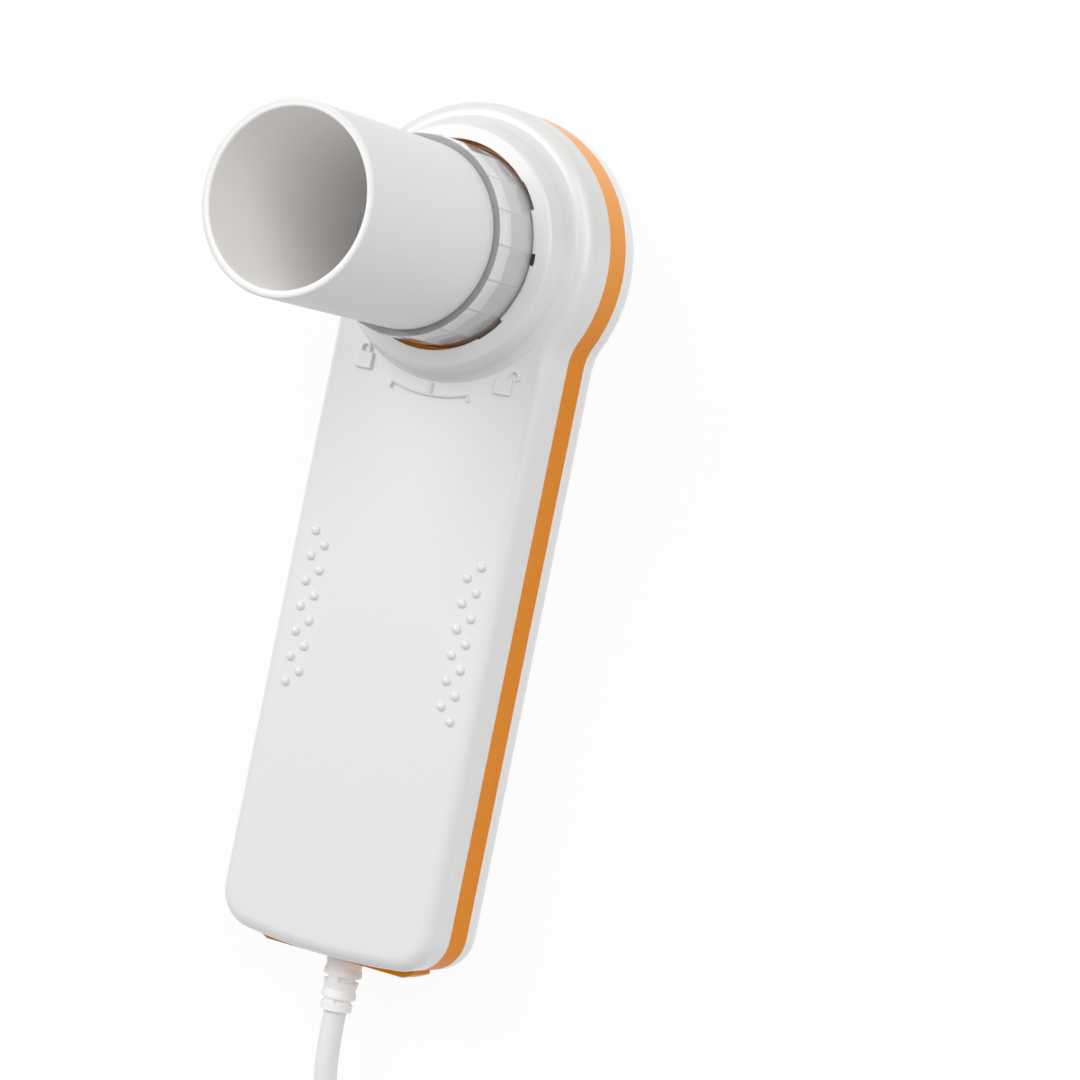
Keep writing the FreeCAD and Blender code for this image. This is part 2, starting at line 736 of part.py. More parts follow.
def relief_way(body):
    """Round way through the end wall for the strain relief's neck."""
    sketch = new_sketch(body, "XZ_Plane", "sizes.axis_to_end - 3 * sizes.shell_wall")
    add_circle(
        sketch, "0", "sizes.cable_height", "sizes.relief_neck_radius + sizes.relief_fit"
    )
    pocket(body, sketch, "6 * sizes.shell_wall", refine=False)


def rear_cover():
    body = new_body("RearCover")
    shell = new_sketch(body, "XY_Plane")
    add_housing(shell, "0")
    solid = pad(body, shell, "sizes.rear_depth")
    fillet(body, edges_at(solid.Shape, 0.0), "sizes.rear_edge_radius")
    cavity = new_sketch(body, "XY_Plane", "sizes.shell_wall")
    add_housing(cavity, "sizes.shell_wall")
    pocket(body, cavity, "sizes.rear_depth")
    outlet = circles(body, [("0", "0")], OUTLET_RADIUS, "-1")
    pocket(body, outlet, "sizes.shell_wall + 2")
    posts = circles(body, BOSSES, "sizes.rear_boss_radius", "sizes.shell_wall / 2")
    pad(body, posts, f"{BOSS_SPLIT} - sizes.shell_wall / 2")
    board_posts = circles(body, BOARD_POSTS, "sizes.board_post_radius", "sizes.shell_wall / 2")
    pad(body, board_posts, f"{BOARD_UNDER} - sizes.shell_wall / 2")
    # Cradle under the cable, with the clamp's two screw posts
    cradle = new_sketch(body, "XY_Plane", "sizes.shell_wall / 2")
    add_rectangle(
        cradle,
        "-sizes.saddle_half_width",
        f"-{SADDLE_Y} - sizes.saddle_depth / 2",
        "sizes.saddle_half_width",
        f"-{SADDLE_Y} + sizes.saddle_depth / 2",
    )
    pad(body, cradle, "sizes.cable_height - sizes.saddle_plate / 2 - sizes.shell_wall / 2")
    groove = new_sketch(body, "XZ_Plane", f"{SADDLE_Y} - sizes.saddle_depth")
    add_circle(groove, "0", "sizes.cable_height", "sizes.cable_radius + sizes.screw_fit")
    pocket(body, groove, "2 * sizes.saddle_depth")
    # Screw holes
    ways = circles(body, BOSSES, "sizes.case_screw_radius + 3 * sizes.screw_fit", "-1")
    pocket(body, ways, f"{BOSS_SPLIT} + 2")
    recess = circles(body, BOSSES, "sizes.case_screw_head_radius + 4 * sizes.screw_fit", "-1")
    pocket(body, recess, "sizes.case_screw_recess + 1")
    pilot = "sizes.small_screw_radius + sizes.screw_fit"
    depth = "sizes.small_screw_length"
    for places, top in (
        (BOARD_POSTS, BOARD_UNDER),
        (SADDLE_POSTS, "(sizes.cable_height - sizes.saddle_plate / 2)"),
    ):
        pilots = circles(body, places, pilot, f"{top} - {depth}")
        pocket(body, pilots, depth)
    relief_way(body)
    return keep("rear_cover", body)


# Turbine

def turbine_body():
    body = new_body("TurbineBody")
    revolve(
        body,
        [
            ("0", "sizes.turbine_rear"),
            (SPIGOT_RADIUS, "sizes.turbine_rear"),
            (SPIGOT_RADIUS, TURBINE_SHOULDER),
            (TURBINE_RADIUS, TURBINE_SHOULDER),
            (TURBINE_RADIUS, GRIP_RING_START),
            (GRIP_RING_RADIUS, GRIP_RING_START),
            (GRIP_RING_RADIUS, TURBINE_TOP),
            ("0", TURBINE_TOP),
        ],
    )
    flat = new_sketch(body, "XY_Plane", GRIP_RING_START, "sizes.grip_flat_turn")
    reach = f"({GRIP_RING_RADIUS} + 1)"
    add_rectangle(flat, GRIP_FLAT_RADIUS, "-4", reach, "4")
    cut = pocket(body, flat, f"{TURBINE_TOP} - {GRIP_RING_START}")
    polar(body, cut, "sizes.grip_flats")
    for place in SLOTS:
        sector(
            body,
            LUG_RADIUS,
            LUG_BASE,
            "sizes.lug_height",
            f"{place} - sizes.lock_travel - sizes.lug_angle / 2",
            "sizes.lug_angle",
            cut=False,
        )
    socket = f"({MOUTHPIECE_END_RADIUS} + sizes.mouthpiece_clearance)"
    revolve(
        body,
        [
            ("0", "sizes.turbine_rear - 1"),
            (TURBINE_BORE, "sizes.turbine_rear - 1"),
            (TURBINE_BORE, SOCKET_FLOOR),
            (socket, SOCKET_FLOOR),
            (socket, f"{TURBINE_TOP} + 1"),
            ("0", f"{TURBINE_TOP} + 1"),
        ],
        cut=True,
    )
    return keep("turbine_body", body)


def mouthpiece():
    body = new_body("Mouthpiece")
    inner = "(sizes.mouthpiece_radius - sizes.mouthpiece_wall)"
    top = f"({SOCKET_FLOOR} + sizes.mouthpiece_length)"
    rim = "sizes.mouthpiece_rim_round"
    revolve(
        body,
        [
            (inner, SOCKET_FLOOR),
            (MOUTHPIECE_END_RADIUS, SOCKET_FLOOR),
            (MOUTHPIECE_END_RADIUS, MOUTHPIECE_STEP),
            ("sizes.mouthpiece_radius", MOUTHPIECE_STEP),
            ("sizes.mouthpiece_radius", f"{top} - {rim}", rim),
            (f"sizes.mouthpiece_radius - {rim}", top),
            (f"{inner} + {rim}", top, rim),
            (inner, f"{top} - {rim}"),
        ],
    )
    return keep("mouthpiece", body)


def swirler(label, base, height, twist, hub_low, hub_high, seat_low):
    """Ring, hub and twisted vanes; the hub holds a bearing in one end."""
    body = new_body(label.title().replace("_", ""))
    seat = "(sizes.bearing_radius + sizes.bearing_fit)"
    revolve(
        body,
        [("0", hub_low), ("sizes.swirler_hub", hub_low), ("sizes.swirler_hub", hub_high), ("0", hub_high)],
    )
    sections = []
    steps = 3
    for i in range(steps):
        share = i / (steps - 1)
        section = new_sketch(body, "XY_Plane", f"{base} + {share} * {height}", f"{share} * {twist}")
        add_rectangle(
            section,
            "sizes.swirler_hub / 2",
            "-sizes.vane_thickness / 2",
            f"{TURBINE_BORE} - sizes.swirler_ring / 2",
            "sizes.vane_thickness / 2",
        )
        sections.append(section)
    doc.recompute()
    vane = body.newObject("PartDesign::AdditiveLoft", "Vane")
    vane.Profile = sections[0]
    vane.Sections = sections[1:]
    doc.recompute()
    polar(body, vane, "sizes.vane_count")
    ring = f"({TURBINE_BORE} - sizes.swirler_fit)"
    revolve(
        body,
        [
            (f"{ring} - sizes.swirler_ring", base),
            (ring, base),
            (ring, f"{base} + {height}"),
            (f"{ring} - sizes.swirler_ring", f"{base} + {height}"),
        ],
    )
    hole = circles(body, [("0", "0")], seat, seat_low)
    pocket(body, hole, "sizes.bearing_depth")
    return keep(label, body)


REAR_HUB_TOP = "(sizes.rear_swirler_base + sizes.rear_swirler_height)"
FRONT_HUB_LOW = FRONT_SWIRLER_BASE
REAR_SEAT = f"({REAR_HUB_TOP} - sizes.bearing_depth)"


def bearing(label, low, open_end_up):
    body = new_body(label.title().replace("_", ""))
    bore = "(sizes.axle_radius + sizes.axle_clearance)"
    wall = "(sizes.bearing_depth / 4)"
    high = f"({low} + sizes.bearing_depth)"
    ends = (low, f"({low} + {wall})", high) if open_end_up else (high, f"({high} - {wall})", low)
    revolve(
        body,
        [
            ("0", ends[0]),
            ("sizes.bearing_radius", ends[0]),
            ("sizes.bearing_radius", ends[2]),
            (bore, ends[2]),
            (bore, ends[1]),
            ("0", ends[1]),
        ],
    )
    return keep(label, body)


def rotor_axle():
    body = new_body("RotorAxle")
    low = f"({REAR_SEAT} + sizes.bearing_depth / 4 + sizes.axle_end_play)"
    high = f"({FRONT_HUB_LOW} + sizes.bearing_depth * 3 / 4 - sizes.axle_end_play)"
    blunt = "(sizes.axle_radius / 4)"
    revolve(
        body,
        [
            ("0", low),
            (blunt, low),
            ("sizes.axle_radius", f"{low} + sizes.axle_point"),
            ("sizes.axle_radius", f"{high} - sizes.axle_point"),
            (blunt, high),
            ("0", high),
        ],
    )
    return keep("rotor_axle", body)


def rotor_vane():
    body = new_body("RotorVane")
    low = f"({ROTOR_MIDDLE} - sizes.rotor_height / 2)"
    plate = new_sketch(body, "XY_Plane", low, "sizes.rotor_rest_angle")
    half_span = f"{ROTOR_SPAN} / 2"
    half_plate = "sizes.rotor_thickness / 2"
    add_rectangle(plate, f"-{half_span}", f"-{half_plate}", half_span, half_plate)
    pad(body, plate, "sizes.rotor_height")
    hub = circles(body, [("0", "0")], "sizes.rotor_hub", low)
    pad(body, hub, "sizes.rotor_height")
    bore = circles(body, [("0", "0")], "sizes.axle_radius", f"{low} - 1")
    pocket(body, bore, "sizes.rotor_height + 2")
    return keep("rotor_vane", body)


# Sensors and boards

def sensors(label, turn):
    """Side-looking packages that stand on the ring board, each lens in a window."""
    body = new_body(label.title().replace("_", ""))
    block = new_sketch(body, "XY_Plane", BOARD_TOP)
    add_rectangle(
        block,
        SENSOR_INSET,
        "-sizes.sensor_width / 2",
        f"{SENSOR_INSET} + sizes.sensor_depth",
        "sizes.sensor_width / 2",
    )
    package = pad(body, block, "sizes.sensor_height")
    face = new_sketch(body, "YZ_Plane", LENS_REACH)
    add_circle(face, "0", WINDOW_HEIGHT, "sizes.lens_radius")
    lens = pad(body, face, f"{SENSOR_INSET} - {LENS_REACH} + sizes.sensor_depth / 2")
    around = body.newObject("PartDesign::PolarPattern", "Around")
    around.Originals = [package, lens]
    around.Axis = (plane_of(body, "Z_Axis"), [""])
    around.Angle = 360
    around.setExpression("Occurrences", "sizes.sensor_count")
    body.Tip = around
    keep(label, body)
    body.setExpression(".Placement.Rotation.Angle", str(turn))
    doc.recompute()
    return body


def sensor_board():
    body = new_body("SensorBoard")
    low = f"{BOARD_TOP} - sizes.ring_board_thickness"
    disc = circles(body, [("0", "0")], RING_BOARD_OUTER, low)
    pad(body, disc, "sizes.ring_board_thickness")
    tab = new_sketch(body, "XY_Plane", low)
    add_rectangle(
        tab,
        "-sizes.ring_board_tab_half",
        f"-{RING_BOARD_TAB_END}",
        "sizes.ring_board_tab_half",
        f"-{RING_BOARD_INNER}",
    )
    pad(body, tab, "sizes.ring_board_thickness")
    bore = circles(body, [("0", "0")], RING_BOARD_INNER, f"{low} - 1")
    pocket(body, bore, "sizes.ring_board_thickness + 2")
    holes = circles(
        body, SENSOR_SCREWS, "sizes.small_screw_radius + 2 * sizes.screw_fit", f"{low} - 1"
    )
    pocket(body, holes, "sizes.ring_board_thickness + 2")
    return keep("sensor_board", body)


def main_board():
    body = new_body("MainBoard")
    outline = new_sketch(body, "XY_Plane", BOARD_UNDER)
    neck = MAIN_BOARD_NECK_HALF
    half = MAIN_BOARD_HALF
    add_outline(
        outline,
        [
            (f"-{neck}", f"-{MAIN_BOARD_START}"),
            (f"-{neck}", f"-{MAIN_BOARD_STEP}"),
            (f"-{half}", f"-{MAIN_BOARD_STEP}"),
            (f"-{half}", f"-{MAIN_BOARD_END}"),
            (half, f"-{MAIN_BOARD_END}"),
            (half, f"-{MAIN_BOARD_STEP}"),
            (neck, f"-{MAIN_BOARD_STEP}"),
            (neck, f"-{MAIN_BOARD_START}"),
        ],
    )
    pad(body, outline, "sizes.main_board_thickness")
    holes = circles(
        body,
        BOARD_POSTS,
        "sizes.small_screw_radius + 2 * sizes.screw_fit",
        f"{BOARD_UNDER} - 1",
    )
    pocket(body, holes, "sizes.main_board_thickness + 2")
    return keep("main_board", body)


def box(name, length, width, height, x, y, z):
    """A block given by its sizes, the middle of its base in X and Y, and its foot in Z."""
    item = doc.addObject("Part::Box", name)
    for key, expression in (("Length", length), ("Width", width), ("Height", height)):
        item.setExpression(key, str(expression))
    item.setExpression(".Placement.Base.x", f"{x} - ({length}) / 2")
    item.setExpression(".Placement.Base.y", f"{y} - ({width}) / 2")
    item.setExpression(".Placement.Base.z", str(z))
    return item


def cylinder(name, radius, height, x, y, z):
    item = doc.addObject("Part::Cylinder", name)
    item.setExpression("Radius", str(radius))
    item.setExpression("Height", str(height))
    item.setExpression(".Placement.Base.x", str(x))
    item.setExpression(".Placement.Base.y", str(y))
    item.setExpression(".Placement.Base.z", str(z))
    return item


def joined(name, items):
    fuse = doc.addObject("Part::MultiFuse", name)
    fuse.Shapes = items
    return fuse


def group(name, items):
    compound = doc.addObject("Part::Compound", name)
    compound.Links = items
    return compound


CHIPS = {
    # label: length across, length along, height, y, leads a side, lead pitch
    "controller": (7.0, 9.6, 1.6, -52.0, 7, 1.27),
    "interface_chip": (5.2, 6.4, 1.5, -70.0, 5, 1.1),
}
LEAD_REACH = 1.2
LEAD_WIDTH = 0.4
LEAD_THICKNESS = 0.25


def chip(label):
    across, along, height, y, leads, pitch = CHIPS[label]
    top = BOARD_TOP
    items = [box(label + "Case", across, along, height - LEAD_THICKNESS, 0, y, f"{top} + {LEAD_THICKNESS}")]
    for side in (-1, 1):
        for i in range(int(round(leads))):
            lead_x = side * (across + LEAD_REACH) / 2
            lead_y = y + (i - (leads - 1) / 2) * pitch
            name = f"{label}Lead{i}{'L' if side < 0 else 'R'}"
            foot = box(name, LEAD_REACH * 1.4, LEAD_WIDTH, LEAD_THICKNESS * 2, lead_x, lead_y, top)
            items.append(foot)
    return keep(label, joined(label + "Fused", items))


CRYSTAL = (4.6, 10.8, 3.4, 9.5, -60.0)
SMALL_PARTS = [(-9.2 + 1.8 * i, -38.5 - 2.9 * (i % 3)) for i in range(11)]
SMALL_PART = (1.0, 1.9, 0.8)


def crystal():
    across, along, height, x, y = CRYSTAL
    half = box("CrystalMiddle", across, along - across, height, x, y, BOARD_TOP)
    ends = [
        cylinder(f"CrystalEnd{i}", across / 2, height, x, y + side * (along - across) / 2, BOARD_TOP)
        for i, side in enumerate((-1, 1))
    ]
    return keep("crystal", joined("CrystalCan", [half] + ends))


def small_parts():
    across, along, height = SMALL_PART
    items = [
        box(f"Small{i}", across, along, height, x, y, BOARD_TOP)
        for i, (x, y) in enumerate(SMALL_PARTS)
    ]
    return keep("small_parts", group("SmallGroup", items))


def board_link():
    """Bar across the gap between the two boards, with its pins standing out of both sides."""
    gap_y = f"-({RING_BOARD_TAB_END} + {MAIN_BOARD_START}) / 2"
    items = [box("LinkBar", 11.0, 2.4, 2.2, 0, gap_y, BOARD_TOP)]
    for i in range(6):
        items.append(box(f"LinkPin{i}", 0.6, 5.0, 0.6, (i - 2.5) * 1.7, gap_y, BOARD_TOP))
    return keep("board_link", joined("LinkFused", items))


SOCKET = (9.0, 4.6, 4.0)
SOCKET_Y = -95.0
SOCKET_WALL = 0.7


def cable_socket():
    """Open-ended connector housing at the far end of the main board."""
    across, along, height = SOCKET
    case = box("SocketCase", across, along, height, 0, SOCKET_Y, BOARD_TOP)
    hole = box(
        "SocketHole",
        across - 2 * SOCKET_WALL,
        along,
        height - 2 * SOCKET_WALL,
        0,
        SOCKET_Y - SOCKET_WALL,
        f"{BOARD_TOP} + {SOCKET_WALL}",
    )
    cut = doc.addObject("Part::Cut", "SocketCut")
    cut.Base = case
    cut.Tool = hole
    return keep("cable_socket", cut)


SCREW_LENGTHS = {"case": CASE_SCREW_LENGTH, "small": "sizes.small_screw_length"}


def screws(label, places, under_head, kind, direction):
    """A group of screws; direction is 1 where the head faces up and -1 where it faces down."""
    radius = f"sizes.{kind}_screw_radius"
    head_radius = f"sizes.{kind}_screw_head_radius"
    head = f"sizes.{kind}_screw_head_height"
    length = SCREW_LENGTHS[kind]
    items = []
    for i, (x, y) in enumerate(places):
        shank_z = f"{under_head} - {length}" if direction > 0 else under_head
        head_z = under_head if direction > 0 else f"{under_head} - {head}"
        shank = cylinder(f"{label}Shank{i}", radius, length, x, y, shank_z)
        cap = cylinder(f"{label}Head{i}", head_radius, head, x, y, head_z)
        body = joined(f"{label}Blank{i}", [shank, cap])
        mark_z = f"{head_z} + {head} / 2" if direction > 0 else f"{head_z} - {head} / 2"
        long, short = f"{head_radius} * 1.2", f"{head_radius} * 0.28"
        cross = joined(
            f"{label}Cross{i}",
            [
                box(f"{label}MarkA{i}", long, short, head, x, y, mark_z),
                box(f"{label}MarkB{i}", short, long, head, x, y, mark_z),
            ],
        )
        cut = doc.addObject("Part::Cut", f"{label}Cut{i}")
        cut.Base = body
        cut.Tool = cross
        items.append(cut)
    return keep(label, group(label + "Group", items))


# Cable, from its end inside the housing to the plug

def tube(points, radius, start=None):
    """Straight runs joined by tangent arcs, with a round section along them."""
    points = [V(*p) for p in points]
    edges = []
    radii = []
    last = points[0]
    for before, at, after in zip(points, points[1:], points[2:]):
        back = (before - at).normalize()
        ahead = (after - at).normalize()
        turn = math.pi - back.getAngle(ahead)
        reach = 0.45 * min((before - at).Length, (after - at).Length)
        bend = reach / math.tan(turn / 2)
        radii.append(round(bend, 1))
        enter = at + back * reach
        leave = at + ahead * reach
        inward = (back + ahead).normalize()
        centre = at + inward * (bend / math.cos(turn / 2))
        edges.append(Part.LineSegment(last, enter).toShape())
        edges.append(Part.Arc(enter, centre - inward * bend, leave).toShape())
        last = leave
    edges.append(Part.LineSegment(last, points[-1]).toShape())
    path = Part.Wire(edges)
    ring = Part.Wire(Part.Circle(points[0], points[1] - points[0], radius).toShape())
    solid = path.makePipeShell([ring], True, True)
    expected = math.pi * radius**2 * path.Length
    print("tube length", round(path.Length, 1), "volume share", round(solid.Volume / expected, 4))
    print("tube radii", radii)
    return solid, path.Length


def feature(label, shape, along=None):
    item = doc.addObject("Part::Feature", label.title().replace("_", ""))
    item.Shape = shape
    item.Placement = FreeCAD.Placement(V(0, size(along) if along else 0, 0), FreeCAD.Rotation())
    item.Label = label
    parts[label] = item
    return item


def strain_relief():
    """Sleeve with a flange inside the wall and two grooves that let it bend."""
    body = new_body("StrainRelief")
    wall_inner = "(sizes.axis_to_end - sizes.shell_wall - sizes.relief_fit)"
    bore = "(sizes.cable_radius + sizes.screw_fit)"
    floor = f"({bore} + sizes.relief_skin)"
    groove = "sizes.relief_groove_width"
    first = f"({FOOT_END} + sizes.relief_first)"
    second = f"({first} + {groove} + sizes.relief_second)"
    tip = f"({FOOT_END} + sizes.relief_length)"
    root_radius = "sizes.relief_root_radius"
    tip_radius = "sizes.relief_tip_radius"
    middle = f"(({root_radius} + {tip_radius}) / 2)"

    def ring(radius, end):
        """The waist, the rounded ring after it and the wall of the groove beyond."""
        return [
            (f"{radius} - sizes.relief_waist", f"{end} - 2 * sizes.relief_bead"),
            (radius, f"{end} - sizes.relief_bead"),
            (radius, end),
        ]

    revolve(
        body,
        [
            ("0", f"{wall_inner} - sizes.relief_flange"),
            ("sizes.relief_flange_radius", f"{wall_inner} - sizes.relief_flange"),
            ("sizes.relief_flange_radius", wall_inner),
            ("sizes.relief_neck_radius", wall_inner),
            ("sizes.relief_neck_radius", FOOT_END),
            (root_radius, FOOT_END),
            *ring(root_radius, first),
            (floor, first),
            (floor, f"{first} + {groove}"),
            (middle, f"{first} + {groove}"),
            *ring(middle, second),
            (floor, second),
            (floor, f"{second} + {groove}"),
            (tip_radius, f"{second} + {groove}"),
            (tip_radius, tip),
            ("0", tip),
        ],
    )
    # Two webs across each groove, above and below the cable
    for start, radius in ((first, middle), (second, tip_radius)):
        for side in ("90", "270"):
            angle = "sizes.relief_web_angle"
            sector(body, radius, start, groove, f"{side} - {angle} / 2", angle, cut=False)
    corners = [
        ("0", f"{wall_inner} - 2 * sizes.relief_flange"),
        (bore, f"{wall_inner} - 2 * sizes.relief_flange"),
        (bore, f"{tip} + 1"),
        ("0", f"{tip} + 1"),
    ]
    revolve(body, corners, cut=True)
    keep("strain_relief", body)
    body.Placement = FreeCAD.Placement(V(0, 0, 0), FreeCAD.Rotation(V(1, 0, 0), 90))
    body.setExpression(".Placement.Base.y", AXIS_Y)
    body.setExpression(".Placement.Base.z", "sizes.cable_height")
    return body


def saddle():
    """Strap over the cable's sheath with two screw ears."""
    plate_z = "(sizes.cable_height - sizes.saddle_plate / 2)"
    plate = box(
        "SaddlePlate",
        "2 * sizes.saddle_half_width",
        "sizes.saddle_depth",
        "sizes.saddle_plate",
        0,
        f"-{SADDLE_Y}",
        plate_z,
    )
    arch = lying_cylinder("SaddleArch", "sizes.cable_radius + sizes.saddle_wall")
    under = box(
        "SaddleUnder",
        "2 * sizes.saddle_half_width",
        "2 * sizes.saddle_depth",
        10,
        0,
        f"-{SADDLE_Y}",
        f"{plate_z} - 10",
    )
    way = lying_cylinder("SaddleWay", "sizes.cable_radius + sizes.screw_fit")
    holes = [
        cylinder(f"SaddleHole{i}", "sizes.small_screw_radius + 2 * sizes.screw_fit", 20, x, y, 0)
        for i, (x, y) in enumerate(SADDLE_POSTS)
    ]
    cut = doc.addObject("Part::Cut", "SaddleCut")
    cut.Base = joined("SaddleBlank", [plate, arch])
    cut.Tool = joined("SaddleTools", [under, way] + holes)
    return keep("cable_saddle", cut)


def lying_cylinder(name, radius):
    item = doc.addObject("Part::Cylinder", name)
    item.setExpression("Radius", radius)
    item.setExpression("Height", "sizes.saddle_depth")
    item.Placement = FreeCAD.Placement(V(0, 0, 0), FreeCAD.Rotation(V(1, 0, 0), 90))
    item.setExpression(".Placement.Base.y", f"-{SADDLE_Y} + sizes.saddle_depth / 2")
    item.setExpression(".Placement.Base.z", "sizes.cable_height")
    return item


SHEATH_START = "(sizes.axis_to_end - sizes.shell_wall - sizes.relief_fit - sizes.relief_flange)"
WIRE_RADIUS = 0.4
WIRE_OFFSETS = (-1.2, -0.4, 0.4, 1.2)
WIRE_PITCH = 1.6


def inner_sheath():
    """The cable's own end, from the strain relief's tip through the wall to the clamp."""
    item = doc.addObject("Part::Cylinder", "InnerSheath")
    item.setExpression("Radius", "sizes.cable_radius")
    reach = f"({FOOT_END} + sizes.relief_length - {SHEATH_START} + sizes.sheath_length)"
    item.setExpression("Height", reach)
    item.Placement = FreeCAD.Placement(V(0, 0, 0), FreeCAD.Rotation(V(1, 0, 0), 90))
    keep("inner_sheath", item, None)
    item.setExpression(".Placement.Base.y", f"{AXIS_Y} - ({SHEATH_START} - sizes.sheath_length)")
    item.setExpression(".Placement.Base.z", "sizes.cable_height")
    return item


def inner_wires():
    solids = []
    y_start = -size(f"{SHEATH_START} - sizes.sheath_length")
    y_end = SOCKET_Y - SOCKET[1] / 2 + SOCKET_WALL
    z_start = size("sizes.cable_height")
    z_end = size(BOARD_TOP) + SOCKET[2] / 2
    for i, offset in enumerate(WIRE_OFFSETS):
        x_end = (i - 1.5) * WIRE_PITCH
        run = y_end - y_start
        points = [
            (offset, y_start, z_start),
            (offset, y_start + 0.25 * run, z_start),
            (x_end, y_start + 0.68 * run, z_end),
            (x_end, y_end, z_end),
        ]
        solids.append(tube(points, WIRE_RADIUS)[0])
    return feature("inner_wires", Part.makeCompound(solids), AXIS_Y)


def cable_ends():
    """Row-frame places that the cable's route hangs on."""
    out_y = size(f"{AXIS_Y} - ({FOOT_END} + sizes.relief_length)")
    coil = V(size("sizes.coil_x"), size(f"{AXIS_Y} - sizes.coil_y"), 0)
    plug = V(size("sizes.plug_x"), size(f"{AXIS_Y} - sizes.plug_y"), 0)
    return out_y, coil, plug


# Route of the cable in the row frame. The first points follow the photograph, the rest lead
# to the coil's outer turn and from its top turn to the plug.
LEAD_IN = [
    (0.0, -79.05, 7.4),
    (0.0, -87.4, 7.4),
    (1.2, -95.7, 6.2),
    (4.9, -103.2, 3.9),
    (10.4, -109.6, 2.2),
    (16.6, -115.6, 1.93),
    (21.0, -123.0, 1.92),
    (22.9, -131.4, 1.92),
    (21.6, -139.9, 1.92),
    (17.4, -147.3, 1.92),
]
LEAD_OUT = [
    (18.8, -134.0, 9.5),
    (19.9, -142.6, 9.2),
    (20.7, -151.2, 7.3),
    (17.9, -159.8, 5.2),
    (11.95, -166.5, 4.3),
    (3.8, -170.45, 4.1),
    (-5.2, -170.45, 4.1),
]


def cable():
    radius = size("sizes.cable_radius")
    solid, _ = tube(LEAD_IN, radius)
    feature("usb_cable", solid)
    solid, _ = tube(LEAD_OUT, radius)
    feature("usb_cable_end", solid)


def cable_coil():
    """One closed ring of the coil's outer shape."""
    _, coil, _ = cable_ends()
    thick = size("2 * sizes.cable_radius")
    half = size("sizes.coil_columns") * thick / 2
    high = size("sizes.coil_layers") * thick
    middle = size("sizes.coil_middle_radius")
    ring = Part.makeCylinder(middle + half, high, coil).cut(Part.makeCylinder(middle - half, high, coil))
    rims = [e for e in ring.Edges if e.Closed and e.Length > 1]
    ring = ring.makeFillet(size("sizes.cable_radius") * 0.9, rims)
    feature("cable_coil", ring)
    tie_wide = size("sizes.tie_width")
    skin = size("sizes.tie_thickness")
    block = Part.makeBox(2 * (half + skin), tie_wide, high + skin, V(middle - half - skin, -tie_wide / 2, 0))
    hollow = Part.makeBox(2 * half, tie_wide, high, V(middle - half, -tie_wide / 2, 0))
    strap = block.cut(hollow)
    strap.rotate(V(0, 0, 0), V(0, 0, 1), size("sizes.tie_place"))
    strap.translate(coil)
    feature("cable_tie", strap.cut(ring))


def plug():
    """USB plug lying on the surface, its opening towards -X."""
    _, _, at = cable_ends()
    width = size("sizes.plug_grip_width")
    high = size("sizes.plug_grip_height")
    long = size("sizes.plug_grip_length")
    lead = size("sizes.plug_relief_length")
    rear = at.x - lead
    grip = Part.makeBox(long, width, high, V(rear - long, at.y - width / 2, 0))
    grip = grip.makeFillet(high * 0.22, grip.Edges)
    cone = Part.makeCone(size("sizes.cable_radius") + 0.5, high * 0.42, lead + 1, V(at.x, at.y, high / 2), V(-1, 0, 0))
    grip = grip.fuse(cone).removeSplitter()
    shell_long = size("sizes.plug_shell_length")
    shell_wide = size("sizes.plug_shell_width")
    shell_high = size("sizes.plug_shell_height")
    wall = size("sizes.plug_shell_wall")
    mouth = rear - long - shell_long
    low = (high - shell_high) / 2
    outer = Part.makeBox(shell_long, shell_wide, shell_high, V(mouth, at.y - shell_wide / 2, low))
    inner = Part.makeBox(
        shell_long, shell_wide - 2 * wall, shell_high - 2 * wall, V(mouth, at.y - shell_wide / 2 + wall, low + wall)
    )
    latches = [
        Part.makeBox(2.2, 2.5, high, V(mouth + 5.0, at.y + side * 3.0 - 1.25, 0)) for side in (-1, 1)
    ]
    shell = outer.cut(inner).cut(Part.makeCompound(latches))
    tongue_high = shell_high * 0.42
    tongue = Part.makeBox(
        shell_long - 1, shell_wide - 2.5 * wall, tongue_high, V(mouth + 1, at.y - shell_wide / 2 + 1.25 * wall, low + wall)
    )
    contacts = [
        Part.makeBox(7.5, 1.1, 0.2, V(mouth + 2.0, at.y + (i - 1.5) * 2.3 - 0.55, low + wall + tongue_high))
        for i in range(4)
    ]
    feature("plug_grip", grip)
    feature("plug_shell", shell)
    feature("plug_tongue", tongue)
    feature("plug_contacts", Part.makeCompound(contacts))


front_cover()
mid_frame()
rear_cover()
turbine_body()
mouthpiece()
swirler(
    "rear_swirler",
    "sizes.rear_swirler_base",
    "sizes.rear_swirler_height",
    "-sizes.vane_twist",
    "sizes.rear_swirler_base",
    REAR_HUB_TOP,
    REAR_SEAT,
)
swirler(
    "front_swirler",
    FRONT_SWIRLER_BASE,
    "sizes.front_swirler_height",
    "sizes.vane_twist",
    FRONT_SWIRLER_BASE,
    f"({FRONT_SWIRLER_BASE} + sizes.front_swirler_height)",
    FRONT_HUB_LOW,
)
bearing("rear_bearing", REAR_SEAT, True)
bearing("front_bearing", FRONT_HUB_LOW, False)
rotor_axle()
rotor_vane()
sensors("ir_emitters", "90")
sensors("ir_receivers", "30")
sensor_board()
main_board()
for label in CHIPS:
    chip(label)
crystal()
small_parts()
board_link()
cable_socket()
screws("case_screws", BOSSES, "sizes.case_screw_recess", "case", -1)
screws("board_screws", BOARD_POSTS, BOARD_TOP, "small", 1)
screws("sensor_board_screws", SENSOR_SCREWS, BOARD_TOP, "small", 1)
screws(
    "saddle_screws",
    SADDLE_POSTS,
    "(sizes.cable_height + sizes.saddle_plate / 2)",
    "small",
    1,
)
strain_relief()
saddle()
